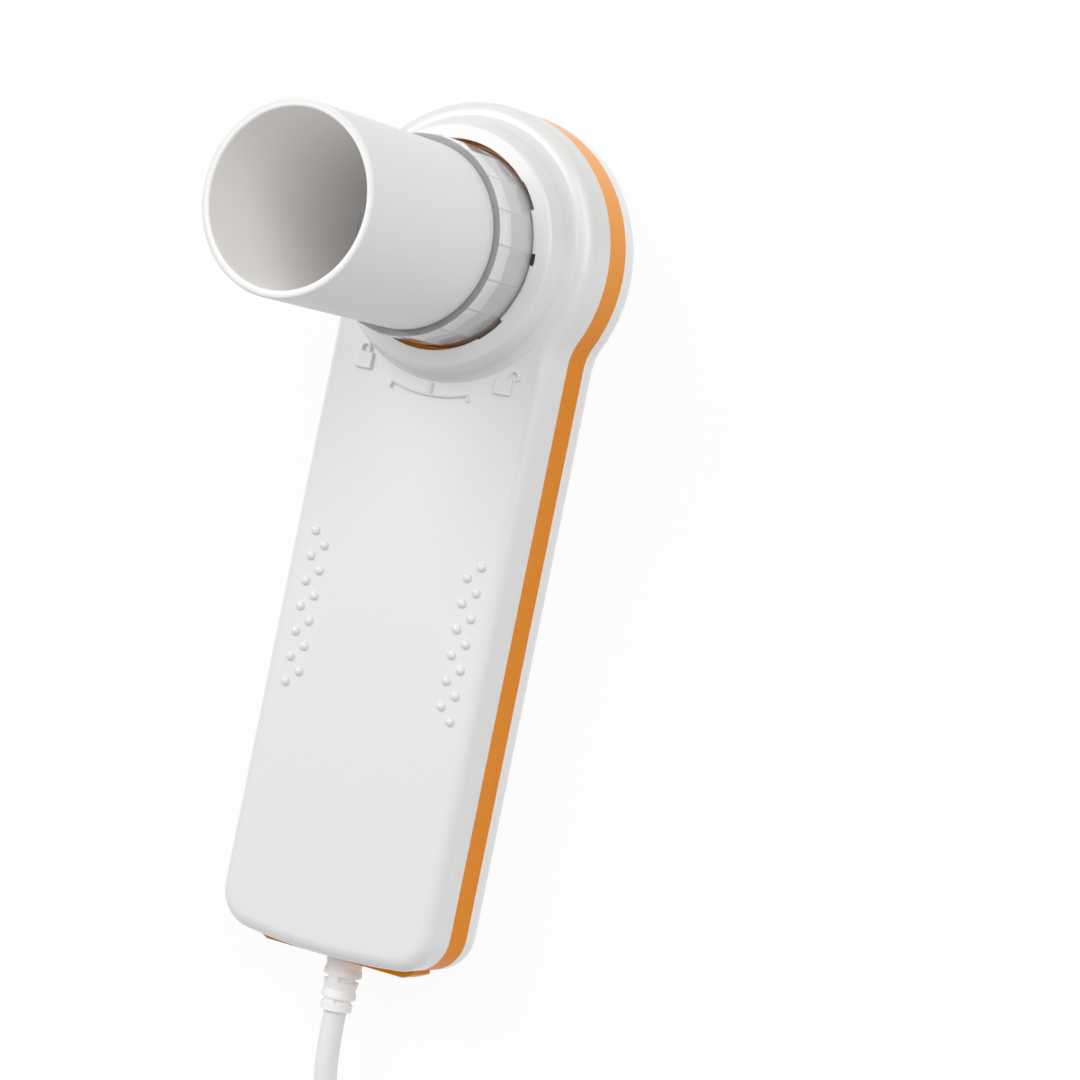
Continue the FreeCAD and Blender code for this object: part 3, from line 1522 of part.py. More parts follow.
inner_sheath()
inner_wires()
cable()
cable_coil()
plug()
doc.recompute()

failed = [o.Label for o in doc.Objects if "Invalid" in o.State or "Error" in o.State]
if failed:
    raise RuntimeError("objects failed: " + ", ".join(failed))
for label, item in parts.items():
    if item.Shape.isNull() or not item.Shape.isValid():
        raise RuntimeError("bad shape: " + label)

os.makedirs("parts", exist_ok=True)
for label, item in parts.items():
    item.Shape.exportStep(f"parts/{label}.step")
    print(label, len(item.Shape.Solids), round(item.Shape.Volume, 1))
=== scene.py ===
import math

import bmesh
import bpy
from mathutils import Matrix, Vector


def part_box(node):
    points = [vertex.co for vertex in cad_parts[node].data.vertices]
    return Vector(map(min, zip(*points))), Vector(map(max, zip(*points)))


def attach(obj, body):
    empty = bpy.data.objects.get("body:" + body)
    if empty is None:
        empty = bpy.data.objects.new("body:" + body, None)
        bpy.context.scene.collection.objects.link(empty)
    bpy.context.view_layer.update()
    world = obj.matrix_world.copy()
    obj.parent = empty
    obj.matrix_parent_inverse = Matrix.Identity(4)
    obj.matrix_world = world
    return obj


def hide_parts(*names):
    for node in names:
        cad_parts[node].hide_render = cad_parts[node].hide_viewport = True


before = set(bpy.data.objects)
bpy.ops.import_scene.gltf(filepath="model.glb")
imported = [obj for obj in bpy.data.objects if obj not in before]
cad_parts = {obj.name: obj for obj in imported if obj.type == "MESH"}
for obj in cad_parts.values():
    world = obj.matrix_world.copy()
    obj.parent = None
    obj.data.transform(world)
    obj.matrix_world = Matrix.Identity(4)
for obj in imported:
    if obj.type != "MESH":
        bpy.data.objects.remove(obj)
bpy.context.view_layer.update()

scene = bpy.context.scene

# All lengths are in metres, in the frame of the CAD model:
# X across the housing, Y towards the turbine head, Z out of the front face.
MM = 0.001

# The turbine's axis, from its box in the frame, and the height of the front face
BARREL_LOW, BARREL_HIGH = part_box("turbine_body")
TURBINE_AXIS = Vector(((BARREL_LOW.x + BARREL_HIGH.x) / 2, (BARREL_LOW.y + BARREL_HIGH.y) / 2, 0))
FACE = 17.4 * MM


# Camera, at the photograph's viewing angle

CAMERA_PLACE = Vector((0.29597729, 0.01814783, 0.51878973))
CAMERA_TURN = (0.08306866, 0.48953284, 0.2296626)
CAMERA_LENS = 120.963
SENSOR_WIDTH = 36.0
NEAREST_SEEN = 0.01
FURTHEST_SEEN = 20.0


def make_camera():
    data = bpy.data.cameras.new("camera")
    data.lens = CAMERA_LENS
    data.sensor_width = SENSOR_WIDTH
    data.clip_start = NEAREST_SEEN
    data.clip_end = FURTHEST_SEEN
    camera = bpy.data.objects.new("camera", data)
    camera.location = CAMERA_PLACE
    camera.rotation_euler = CAMERA_TURN
    scene.collection.objects.link(camera)
    scene.camera = camera


# Helpers for node trees


def rgb(red, green, blue):
    return (red, green, blue, 1.0)


def value_socket(tree, name, default=0.0, side="INPUT"):
    socket = tree.interface.new_socket(name, in_out=side, socket_type="NodeSocketFloat")
    if side == "INPUT":
        socket.default_value = default


def fill_inputs(node, values):
    """Sets a node's plain inputs; an underscore in a name stands for a space."""
    for socket, value in values.items():
        node.inputs[socket.replace("_", " ")].default_value = value


def add_node(nodes, kind, **values):
    node = nodes.new(kind)
    fill_inputs(node, values)
    return node


def colour_mix(nodes, **values):
    """A mix of the colours A and B by a factor."""
    mix = nodes.new("ShaderNodeMix")
    mix.data_type = "RGBA"
    fill_inputs(mix, values)
    return mix


def maths(nodes, operation, second=None):
    """A Math node, with a plain second value where one is given."""
    node = nodes.new("ShaderNodeMath")
    node.operation = operation
    if second is not None:
        node.inputs[1].default_value = second
    return node


def ramp(nodes, link, value, low, high):
    """A mask that goes from 0 where a value is low to 1 where it is high."""
    node = add_node(nodes, "ShaderNodeMapRange", From_Min=low, From_Max=high)
    link(value, node.inputs["Value"])
    return node.outputs["Result"]


def parts_of(nodes, link, vector):
    """A vector's X, Y and Z."""
    split = nodes.new("ShaderNodeSeparateXYZ")
    link(vector, split.inputs["Vector"])
    return split.outputs


def from_axis(nodes, link, place, lengthwise):
    """A place measured from the turbine's axis, with its height scaled."""
    centred = add_node(
        nodes,
        "ShaderNodeMapping",
        Location=(-TURBINE_AXIS.x, -TURBINE_AXIS.y, 0.0),
        Scale=(1.0, 1.0, lengthwise),
    )
    link(place, centred.inputs["Vector"])
    return centred.outputs["Vector"]


def length_of(nodes, link, vector):
    length = nodes.new("ShaderNodeVectorMath")
    length.operation = "LENGTH"
    link(vector, length.inputs[0])
    return length.outputs["Value"]


def seen_rays(nodes, link):
    """1 for what is seen directly or through gloss and glass, and 0 for what lights."""
    ray = nodes.new("ShaderNodeLightPath")
    first = maths(nodes, "MAXIMUM")
    second = maths(nodes, "MAXIMUM")
    link(ray.outputs["Is Camera Ray"], first.inputs[0])
    link(ray.outputs["Is Glossy Ray"], first.inputs[1])
    link(first.outputs["Value"], second.inputs[0])
    link(ray.outputs["Is Transmission Ray"], second.inputs[1])
    return second.outputs["Value"]


# Shader groups that several finishes share


def moulded_grain_group():
    """Fine grain of a moulded surface, and a slow change of gloss over it."""
    group = bpy.data.node_groups.new("moulded grain", "ShaderNodeTree")
    value_socket(group, "Grain per metre", 4000.0)
    value_socket(group, "Patches per metre", 60.0)
    value_socket(group, "Least roughness", 0.35)
    value_socket(group, "Most roughness", 0.45)
    value_socket(group, "Height", side="OUTPUT")
    value_socket(group, "Roughness", side="OUTPUT")
    nodes, link = group.nodes, group.links.new
    start = nodes.new("NodeGroupInput")
    end = nodes.new("NodeGroupOutput")
    place = nodes.new("ShaderNodeTexCoord")
    grain = add_node(nodes, "ShaderNodeTexNoise", Detail=3.0, Roughness=0.6)
    patches = add_node(nodes, "ShaderNodeTexNoise", Detail=2.0)
    spread = add_node(nodes, "ShaderNodeMapRange", From_Min=0.3, From_Max=0.7)
    link(place.outputs["Object"], grain.inputs["Vector"])
    link(place.outputs["Object"], patches.inputs["Vector"])
    link(start.outputs["Grain per metre"], grain.inputs["Scale"])
    link(start.outputs["Patches per metre"], patches.inputs["Scale"])
    link(patches.outputs["Fac"], spread.inputs["Value"])
    link(start.outputs["Least roughness"], spread.inputs["To Min"])
    link(start.outputs["Most roughness"], spread.inputs["To Max"])
    link(grain.outputs["Fac"], end.inputs["Height"])
    link(spread.outputs["Result"], end.inputs["Roughness"])
    return group


def faint_tint_group():
    """A colour that drifts a little over the surface, as dye and handling leave it."""
    group = bpy.data.node_groups.new("faint tint", "ShaderNodeTree")
    for name in ("Colour", "Second colour"):
        socket = group.interface.new_socket(name, in_out="INPUT", socket_type="NodeSocketColor")
        socket.default_value = rgb(0.8, 0.8, 0.8)
    value_socket(group, "Clouds per metre", 25.0)
    value_socket(group, "Share", 0.5)
    group.interface.new_socket("Colour", in_out="OUTPUT", socket_type="NodeSocketColor")
    nodes, link = group.nodes, group.links.new
    start = nodes.new("NodeGroupInput")
    end = nodes.new("NodeGroupOutput")
    place = nodes.new("ShaderNodeTexCoord")
    clouds = add_node(nodes, "ShaderNodeTexNoise", Detail=4.0)
    share = maths(nodes, "MULTIPLY")
    blend = colour_mix(nodes)
    link(place.outputs["Object"], clouds.inputs["Vector"])
    link(start.outputs["Clouds per metre"], clouds.inputs["Scale"])
    link(clouds.outputs["Fac"], share.inputs[0])
    link(start.outputs["Share"], share.inputs[1])
    link(share.outputs["Value"], blend.inputs["Factor"])
    link(start.outputs["Colour"], blend.inputs["A"])
    link(start.outputs["Second colour"], blend.inputs["B"])
    link(blend.outputs["Result"], end.inputs["Colour"])
    return group


def head_facing_shade_group():
    """A mask of the faces turned towards the head end (+Y), where the lamps stand, for a painted
    shade that darkens them.
    """
    group = bpy.data.node_groups.new("head-facing painted shade", "ShaderNodeTree")
    value_socket(group, "Start", 0.03)
    value_socket(group, "Full", 0.25)
    value_socket(group, "Mask", side="OUTPUT")
    nodes, link = group.nodes, group.links.new
    start = nodes.new("NodeGroupInput")
    end = nodes.new("NodeGroupOutput")
    place = nodes.new("ShaderNodeTexCoord")
    rise = nodes.new("ShaderNodeMapRange")
    link(parts_of(nodes, link, place.outputs["Normal"])["Y"], rise.inputs["Value"])
    link(start.outputs["Start"], rise.inputs["From Min"])
    link(start.outputs["Full"], rise.inputs["From Max"])
    link(rise.outputs["Result"], end.inputs["Mask"])
    return group


MOULDED_GRAIN = moulded_grain_group()
FAINT_TINT = faint_tint_group()
HEAD_FACING_SHADE = head_facing_shade_group()


# What every finish is made of


def finish(name, **constants):
    """A material with one Principled shader and its plain values."""
    material = bpy.data.materials.new(name)
    material.use_nodes = True
    shader = material.node_tree.nodes["Principled BSDF"]
    fill_inputs(shader, constants)
    return material, shader


def add_group(material, group, **values):
    node = material.node_tree.nodes.new("ShaderNodeGroup")
    node.node_tree = group
    fill_inputs(node, values)
    return node


def add_bump(material, shader, height, depth, strength=1.0):
    """Feeds a height into the shader's normal."""
    nodes, link = material.node_tree.nodes, material.node_tree.links.new
    bump = add_node(nodes, "ShaderNodeBump", Distance=depth, Strength=strength)
    link(height, bump.inputs["Height"])
    link(bump.outputs["Normal"], shader.inputs["Normal"])


def moulded(name, colour, second, gloss, grain=4000.0, depth=0.006 * MM, painted_shade=None, **constants):
    """A moulded surface: faint tint, fine grain, a slow change of gloss and, where given, a painted
    shade on faces turned towards the head end.
    """
    material, shader = finish(name, **constants)
    nodes, link = material.node_tree.nodes, material.node_tree.links.new
    tint = add_group(material, FAINT_TINT, Colour=colour, Second_colour=second, Share=0.6)
    texture = add_group(
        material,
        MOULDED_GRAIN,
        Grain_per_metre=grain,
        Least_roughness=gloss[0],
        Most_roughness=gloss[1],
    )
    colour_out = tint.outputs["Colour"]
    # Painted shade: faces turned towards the head end, where the lamps stand, are darkened
    if painted_shade:
        upward = add_group(material, HEAD_FACING_SHADE)
        shaded_colour = colour_mix(nodes, B=painted_shade)
        link(upward.outputs["Mask"], shaded_colour.inputs["Factor"])
        link(colour_out, shaded_colour.inputs["A"])
        colour_out = shaded_colour.outputs["Result"]
    link(colour_out, shader.inputs["Base Color"])
    link(texture.outputs["Roughness"], shader.inputs["Roughness"])
    add_bump(material, shader, texture.outputs["Height"], depth)
    return material


def let_light_through(material, shader, part):
    """Weakens the shadow of a finish that lets part of the light through."""
    nodes, link = material.node_tree.nodes, material.node_tree.links.new
    light = nodes.new("ShaderNodeLightPath")
    share = maths(nodes, "MULTIPLY", part)
    through = nodes.new("ShaderNodeBsdfTransparent")
    both = nodes.new("ShaderNodeMixShader")
    link(light.outputs["Is Shadow Ray"], share.inputs[0])
    link(share.outputs["Value"], both.inputs["Fac"])
    link(shader.outputs["BSDF"], both.inputs[1])
    link(through.outputs["BSDF"], both.inputs[2])
    link(both.outputs["Shader"], nodes["Material Output"].inputs["Surface"])


def coat_and_painted_sheen(material, low, high, gloss, sheen_colour):
    """A clear coat that grows from none low on the object to full at its head, where the base
    colour also turns paler as a painted sheen.
    """
    nodes, link = material.node_tree.nodes, material.node_tree.links.new
    shader = nodes["Principled BSDF"]
    place = nodes.new("ShaderNodeTexCoord")
    height = parts_of(nodes, link, place.outputs["Object"])["Y"]
    head_share = ramp(nodes, link, height, low, high)
    share = maths(nodes, "MULTIPLY", gloss)
    # Painted sheen: the base colour turns paler towards the head
    sheen_mix = colour_mix(nodes, B=sheen_colour)
    link(head_share, share.inputs[0])
    link(share.outputs["Value"], shader.inputs["Coat Weight"])
    link(head_share, sheen_mix.inputs["Factor"])
    link(shader.inputs["Base Color"].links[0].from_socket, sheen_mix.inputs["A"])
    link(sheen_mix.outputs["Result"], shader.inputs["Base Color"])


# Finishes: zones are heights along the turbine's axis, and radii from it

# Height of the step in the clear plastic's base colour: greyer below, lighter above
TONE_STEP_TOP = 29.5 * MM
TONE_STEP_EDGE = 0.1 * MM
END_FACE = 32.85 * MM
SEAT_RADIUS = 16.1 * MM
SEAT_EDGE = 0.1 * MM
# Base colour greyer below the step height and lighter above it
LOWER_TONE = rgb(0.74, 0.74, 0.745)
UPPER_TONE = rgb(0.96, 0.96, 0.96)
# Painted shade: a dark ring on the end face round the paper tube's seat
SEAT_PAINTED_SHADE = rgb(0.40, 0.40, 0.40)

# A painted dark line, as shade, runs along each crest between two of the grip's flats; angles are
# in radians
FLATS = 18
HALF_FLAT = math.pi / FLATS
FLAT_TURN = math.radians(13.0)
CREST_LINE = 0.016
# Painted shade for the crest lines
CREST_PAINTED_SHADE = rgb(0.68, 0.68, 0.68)

# The part of a lamp's light that each thin wall lets through
CLEAR_LETS_THROUGH = 0.85
PAPER_LETS_THROUGH = 0.18
MILKY_LETS_THROUGH = 0.5


def crest_lines(nodes, link, centred):
    """A mask of the crests: how far a place's angle is from the middle of its flat."""
    turned = add_node(nodes, "ShaderNodeVectorRotate", Angle=-FLAT_TURN)
    turned.rotation_type = "Z_AXIS"
    angle = maths(nodes, "ARCTAN2")
    from_middle = maths(nodes, "PINGPONG", HALF_FLAT)
    link(centred, turned.inputs["Vector"])
    sides = parts_of(nodes, link, turned.outputs["Vector"])
    link(sides["Y"], angle.inputs[0])
    link(sides["X"], angle.inputs[1])
    link(angle.outputs["Value"], from_middle.inputs[0])
    return ramp(
        nodes,
        link,
        from_middle.outputs["Value"],
        HALF_FLAT - CREST_LINE,
        HALF_FLAT - CREST_LINE / 3,
    )


def clear_finish():
    """Polished clear plastic: greyer low on the grip, painted dark lines at the crests between
    flats, and a painted shade ring round the paper tube's seat.
    """
    material, shader = finish(
        "clear plastic",
        Transmission_Weight=0.3,
        IOR=1.35,
        Metallic=0.0,
        Subsurface_Weight=0.6,
        Subsurface_Radius=(1.0, 1.0, 1.0),
        Subsurface_Scale=2.5 * MM,
    )
    nodes, link = material.node_tree.nodes, material.node_tree.links.new
    place = nodes.new("ShaderNodeTexCoord").outputs["Object"]
    height = parts_of(nodes, link, place)["Z"]
    centred = from_axis(nodes, link, place, 0.0)
    radius = length_of(nodes, link, centred)
    clear = ramp(nodes, link, height, TONE_STEP_TOP - TONE_STEP_EDGE, TONE_STEP_TOP + TONE_STEP_EDGE)
    at_end = ramp(nodes, link, height, END_FACE - SEAT_EDGE, END_FACE)
    near_tube = ramp(nodes, link, radius, SEAT_RADIUS, SEAT_RADIUS - SEAT_EDGE)
    seat = maths(nodes, "MULTIPLY")
    link(at_end, seat.inputs[0])
    link(near_tube, seat.inputs[1])
    zones = colour_mix(nodes, A=LOWER_TONE, B=UPPER_TONE)
    lined = colour_mix(nodes, B=CREST_PAINTED_SHADE)
    rings = colour_mix(nodes, B=SEAT_PAINTED_SHADE)
    link(clear, zones.inputs["Factor"])
    link(crest_lines(nodes, link, centred), lined.inputs["Factor"])
    link(seat.outputs["Value"], rings.inputs["Factor"])
    link(zones.outputs["Result"], lined.inputs["A"])
    link(lined.outputs["Result"], rings.inputs["A"])
    link(rings.outputs["Result"], shader.inputs["Base Color"])
    texture = add_group(
        material,
        MOULDED_GRAIN,
        Grain_per_metre=700.0,
        Patches_per_metre=150.0,
        Least_roughness=0.02,
        Most_roughness=0.07,
    )
    link(texture.outputs["Roughness"], shader.inputs["Roughness"])
    add_bump(material, shader, texture.outputs["Height"], 0.004 * MM, 0.5)
    let_light_through(material, shader, CLEAR_LETS_THROUGH)
    return material


PAPER_INSIDE = 14.1 * MM
PAPER_OUTSIDE = 14.6 * MM
# Bare board colour inside the tube, painted lighter and warmer to stand in for light bounced inside
# it
BOARD_AND_PAINTED_LIGHT = rgb(0.94, 0.925, 0.91)
FIBRE_STRETCH = 0.25


def paper_finish():
    """White paper tube: coated outside; bare board inside, painted lighter and warmer as painted
    light for the light that bounces inside the tube.
    """
    material, shader = finish("coated paper", Coat_Weight=0.08, Coat_Roughness=0.3)
    nodes, link = material.node_tree.nodes, material.node_tree.links.new
    tint = add_group(
        material,
        FAINT_TINT,
        Colour=rgb(0.80, 0.80, 0.80),
        Second_colour=rgb(0.785, 0.785, 0.785),
        Clouds_per_metre=60.0,
        Share=0.7,
    )
    texture = add_group(
        material, MOULDED_GRAIN, Least_roughness=0.5, Most_roughness=0.62, Patches_per_metre=90.0
    )
    place = nodes.new("ShaderNodeTexCoord").outputs["Object"]
    fibres = add_node(nodes, "ShaderNodeTexNoise", Scale=2600.0, Detail=4.0)
    radius = length_of(nodes, link, from_axis(nodes, link, place, 0.0))
    coated = ramp(nodes, link, radius, PAPER_INSIDE, PAPER_OUTSIDE)
    skins = colour_mix(nodes, A=BOARD_AND_PAINTED_LIGHT)
    link(coated, skins.inputs["Factor"])
    link(tint.outputs["Colour"], skins.inputs["B"])
    link(from_axis(nodes, link, place, FIBRE_STRETCH), fibres.inputs["Vector"])
    link(skins.outputs["Result"], shader.inputs["Base Color"])
    link(texture.outputs["Roughness"], shader.inputs["Roughness"])
    add_bump(material, shader, fibres.outputs["Fac"], 0.012 * MM, 0.6)
    let_light_through(material, shader, PAPER_LETS_THROUGH)
    return material


def milky_finish():
    """Milky clear plastic of the two swirlers."""
    material, shader = finish("milky plastic", Transmission_Weight=0.1, IOR=1.49, Metallic=0.0)
    link = material.node_tree.links.new
    tint = add_group(
        material,
        FAINT_TINT,
        Colour=rgb(0.85, 0.855, 0.86),
        Second_colour=rgb(0.80, 0.81, 0.82),
        Clouds_per_metre=120.0,
    )
    texture = add_group(
        material, MOULDED_GRAIN, Grain_per_metre=1500.0, Least_roughness=0.16, Most_roughness=0.28
    )
    link(tint.outputs["Colour"], shader.inputs["Base Color"])
    link(texture.outputs["Roughness"], shader.inputs["Roughness"])
    add_bump(material, shader, texture.outputs["Height"], 0.004 * MM)
    let_light_through(material, shader, MILKY_LETS_THROUGH)
    return material


TARNISH = 0.85


def brushed_finish(name, colour, gloss, along=(1.0, 1.0, 12.0)):
    """Plated metal with fine marks, drawn out as the scale along X, Y and Z says."""
    material, shader = finish(name, Metallic=1.0)
    nodes, link = material.node_tree.nodes, material.node_tree.links.new
    tint = add_group(
        material,
        FAINT_TINT,
        Colour=colour,
        Second_colour=rgb(*(TARNISH * part for part in colour[:3])),
        Clouds_per_metre=200.0,
    )
    place = nodes.new("ShaderNodeTexCoord")
    stretch = add_node(nodes, "ShaderNodeMapping", Scale=along)
    marks = add_node(nodes, "ShaderNodeTexNoise", Scale=1800.0, Detail=3.0)
    texture = add_group(
        material,
        MOULDED_GRAIN,
        Patches_per_metre=400.0,
        Least_roughness=gloss[0],
        Most_roughness=gloss[1],
    )
    link(place.outputs["Object"], stretch.inputs["Vector"])
    link(stretch.outputs["Vector"], marks.inputs["Vector"])
    link(tint.outputs["Colour"], shader.inputs["Base Color"])
    link(texture.outputs["Roughness"], shader.inputs["Roughness"])
    add_bump(material, shader, marks.outputs["Fac"], 0.003 * MM)
    return material


TRACK_EDGE = (0.04, 0.07)


def board_finish():
    """Green solder mask with the tracks showing faintly under it."""
    material, shader = finish("green board", Coat_Weight=0.3, Coat_Roughness=0.15)
    nodes, link = material.node_tree.nodes, material.node_tree.links.new
    place = nodes.new("ShaderNodeTexCoord")
    tracks = add_node(nodes, "ShaderNodeTexVoronoi", Scale=420.0)
    tracks.distance = "MANHATTAN"
    tracks.feature = "DISTANCE_TO_EDGE"
    blend = colour_mix(nodes, A=rgb(0.03, 0.20, 0.08), B=rgb(0.015, 0.12, 0.05))
    texture = add_group(
        material, MOULDED_GRAIN, Least_roughness=0.3, Most_roughness=0.42, Patches_per_metre=120.0
    )
    link(place.outputs["Object"], tracks.inputs["Vector"])
    edge = ramp(nodes, link, tracks.outputs["Distance"], *TRACK_EDGE)
    link(edge, blend.inputs["Factor"])
    link(blend.outputs["Result"], shader.inputs["Base Color"])
    link(texture.outputs["Roughness"], shader.inputs["Roughness"])
    add_bump(material, shader, edge, -0.02 * MM, 0.6)
    return material


WIRE_COLOURS = (
    rgb(0.55, 0.02, 0.02),
    rgb(0.75, 0.75, 0.72),
    rgb(0.03, 0.30, 0.07),
    rgb(0.02, 0.02, 0.025),
)
WIRE_SPREAD = 1.6 * MM


def wire_finish():
    """Four insulations, one colour for each wire by its place across the plug."""
    material, shader = finish("wire insulation")
    nodes, link = material.node_tree.nodes, material.node_tree.links.new
    place = nodes.new("ShaderNodeTexCoord")
    across = parts_of(nodes, link, place.outputs["Object"])["X"]
    share = ramp(nodes, link, across, -2 * WIRE_SPREAD, 2 * WIRE_SPREAD)
    colours = nodes.new("ShaderNodeValToRGB")
    colours.color_ramp.interpolation = "CONSTANT"
    stops = colours.color_ramp.elements
    stops[1].position = 1 / len(WIRE_COLOURS)
    for i in range(2, len(WIRE_COLOURS)):
        stops.new(i / len(WIRE_COLOURS))
    for stop, colour in zip(stops, WIRE_COLOURS):
        stop.color = colour
    texture = add_group(material, MOULDED_GRAIN, Least_roughness=0.35, Most_roughness=0.45)
    link(share, colours.inputs["Fac"])
    link(colours.outputs["Color"], shader.inputs["Base Color"])
    link(texture.outputs["Roughness"], shader.inputs["Roughness"])
    add_bump(material, shader, texture.outputs["Height"], 0.004 * MM)
    return material


# Values that the white finishes share
WHITE_ROUGHNESS = (0.36, 0.44)
FRONT_TINTS = (rgb(0.79, 0.79, 0.79), rgb(0.775, 0.78, 0.78))
FRONT_COAT = {"IOR": 1.5, "Coat_Weight": 0.7, "Coat_Roughness": 0.2}
# Painted shade for the front cover's faces turned towards the lamps at the head end
PAINTED_SHADE_GREY = rgb(0.715, 0.715, 0.71)

WHITE_HOUSING = moulded(
    "white housing", *FRONT_TINTS, WHITE_ROUGHNESS, painted_shade=PAINTED_SHADE_GREY, **FRONT_COAT
)
SIGN_WHITE = moulded("sign white", *FRONT_TINTS, WHITE_ROUGHNESS, **FRONT_COAT)
# The rear cover is the same white plastic as the front; its colour is painted lighter, as painted
# light on its dimly lit edges
REAR_WHITE_PAINTED_LIGHT = moulded(
    "rear white painted light",
    rgb(0.86, 0.86, 0.86),
    rgb(0.845, 0.85, 0.85),
    WHITE_ROUGHNESS,
    IOR=1.5,
    Coat_Weight=1.0,
    Coat_Roughness=0.15,
)

# Heights, up the object, between which the orange frame's clear coat grows to full and its painted
# sheen comes in
COAT_AND_SHEEN_START = TURBINE_AXIS.y - 14 * MM
COAT_AND_SHEEN_FULL = TURBINE_AXIS.y + 16 * MM
HEAD_COAT = 0.5
# Paler orange painted towards the head as a sheen from the lamps
PAINTED_SHEEN_ORANGE = rgb(0.93, 0.36, 0.03)

ORANGE_FRAME = moulded(
    "orange frame",
    rgb(0.83, 0.27, 0.003),
    rgb(0.80, 0.255, 0.002),
    (0.34, 0.42),
    IOR=1.28,
    Specular_IOR_Level=0.35,
    Coat_Roughness=0.25,
)
coat_and_painted_sheen(ORANGE_FRAME, COAT_AND_SHEEN_START, COAT_AND_SHEEN_FULL, HEAD_COAT, PAINTED_SHEEN_ORANGE)
CLEAR = clear_finish()
PAPER = paper_finish()
MILKY = milky_finish()
BEARING = moulded("bearing plastic", rgb(0.52, 0.08, 0.05), rgb(0.48, 0.07, 0.05), (0.15, 0.22))
ROTOR_FILM = moulded("rotor film", rgb(0.02, 0.02, 0.022), rgb(0.03, 0.03, 0.033), (0.25, 0.32))
SENSOR_RESIN = moulded(
    "sensor resin", rgb(0.02, 0.012, 0.03), rgb(0.03, 0.02, 0.045), (0.08, 0.14), depth=0.001 * MM
)
BOARD = board_finish()
CHIP_EPOXY = moulded("chip epoxy", rgb(0.022, 0.022, 0.024), rgb(0.03, 0.03, 0.03), (0.5, 0.6))
NYLON = moulded("nylon", rgb(0.70, 0.68, 0.60), rgb(0.66, 0.64, 0.56), (0.38, 0.48))
STEEL = brushed_finish("plated steel", rgb(0.60, 0.60, 0.62), (0.24, 0.34))
GOLD = brushed_finish("gold plating", rgb(0.80, 0.56, 0.20), (0.18, 0.26), (12.0, 1.0, 1.0))
JACKET = moulded(
    "cable jacket",
    rgb(0.85, 0.85, 0.845),
    rgb(0.82, 0.82, 0.815),
    (0.42, 0.52),
    grain=2500.0,
    Sheen_Weight=0.05,
)
RELIEF_RUBBER = moulded(
    "relief rubber", rgb(0.94, 0.935, 0.93), rgb(0.91, 0.905, 0.90), (0.38, 0.48), Sheen_Weight=0.05
)
TIE_BAND = moulded("tie band", rgb(0.70, 0.70, 0.70), rgb(0.64, 0.64, 0.65), (0.5, 0.62))
WIRES = wire_finish()


# Pieces copied from the frame, with their triangles joined and shaded smooth

WELD = 0.001 * MM
SHARP_PAST = 28


def add_piece(label, mesh, finish_used, body, replaced=()):
    """Links a mesh as a piece of the object, riding on one of its bodies."""
    mesh.name = label
    mesh.materials.clear()
    mesh.materials.append(finish_used)
    piece = bpy.data.objects.new(label, mesh)
    scene.collection.objects.link(piece)
    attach(piece, body)
    if replaced:
        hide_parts(*replaced)
    return piece


def smooth(mesh, angle):
    mesh.shade_smooth()
    mesh.set_sharp_from_angle(angle=math.radians(angle))


def joined_copy(node, label, finish_used, body, slot, angle=SHARP_PAST):
    """A node's shape as a piece that replaces it, smooth up to an angle in degrees."""
    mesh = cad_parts[node].data.copy()
    normals = mesh.attributes.get("custom_normal")
    if normals:
        mesh.attributes.remove(normals)
    work = bmesh.new()
    work.from_mesh(mesh)
    bmesh.ops.remove_doubles(work, verts=work.verts, dist=WELD)
    work.to_mesh(mesh)
    work.free()
    smooth(mesh, angle)
    piece = add_piece(label, mesh, finish_used, body, [node])
    even = piece.modifiers.new("even shading", "WEIGHTED_NORMAL")
    even.keep_sharp = True


# Node, piece, finish, body, slot, and the angle where it isn't the usual one
SMOOTHED_NODES = (
    ("front_cover", "front_moulding", WHITE_HOUSING, "housing", "white_housing"),
    ("mid_frame", "orange_band", ORANGE_FRAME, "housing", "orange_frame"),
    ("rear_cover", "rear_moulding", REAR_WHITE_PAINTED_LIGHT, "housing", "white_housing"),
    ("strain_relief", "relief_sleeve", RELIEF_RUBBER, "housing", "cable_rubber", 20),
    ("turbine_body", "clear_turbine", CLEAR, "turbine", "clear_plastic", 12),
    ("front_swirler", "front_vanes", MILKY, "turbine", "swirler_plastic"),
    ("rear_swirler", "rear_vanes", MILKY, "turbine", "swirler_plastic"),
    ("front_bearing", "front_cup", BEARING, "turbine", "bearing_plastic"),
    ("rear_bearing", "rear_cup", BEARING, "turbine", "bearing_plastic"),
    ("rotor_axle", "spindle", STEEL, "rotor", "steel"),
    ("mouthpiece", "paper_tube", PAPER, "tube", "white_board"),
    ("case_screws", "case_screws_smooth", STEEL, "housing", "steel"),
    ("board_screws", "board_screws_smooth", STEEL, "housing", "steel"),
    ("sensor_board_screws", "sensor_board_screws_smooth", STEEL, "housing", "steel"),
    ("saddle_screws", "saddle_screws_smooth", STEEL, "housing", "steel"),
    ("ir_emitters", "emitter_lamps", SENSOR_RESIN, "housing", "sensor_plastic"),
    ("ir_receivers", "receiver_lamps", SENSOR_RESIN, "housing", "sensor_plastic"),
    ("cable_saddle", "cable_clamp", NYLON, "housing", "socket_plastic"),
    ("crystal", "crystal_can", STEEL, "housing", "steel"),
    ("inner_sheath", "sheath_inside", JACKET, "housing", "cable_rubber"),
    ("inner_wires", "wires_inside", WIRES, "housing", "wire_rubber"),
    ("plug_grip", "plug_moulding", JACKET, "housing", "plug_rubber"),
    ("plug_shell", "plug_metal", STEEL, "housing", "steel"),
)


def smoothed_nodes():
    for row in SMOOTHED_NODES:
        joined_copy(*row)


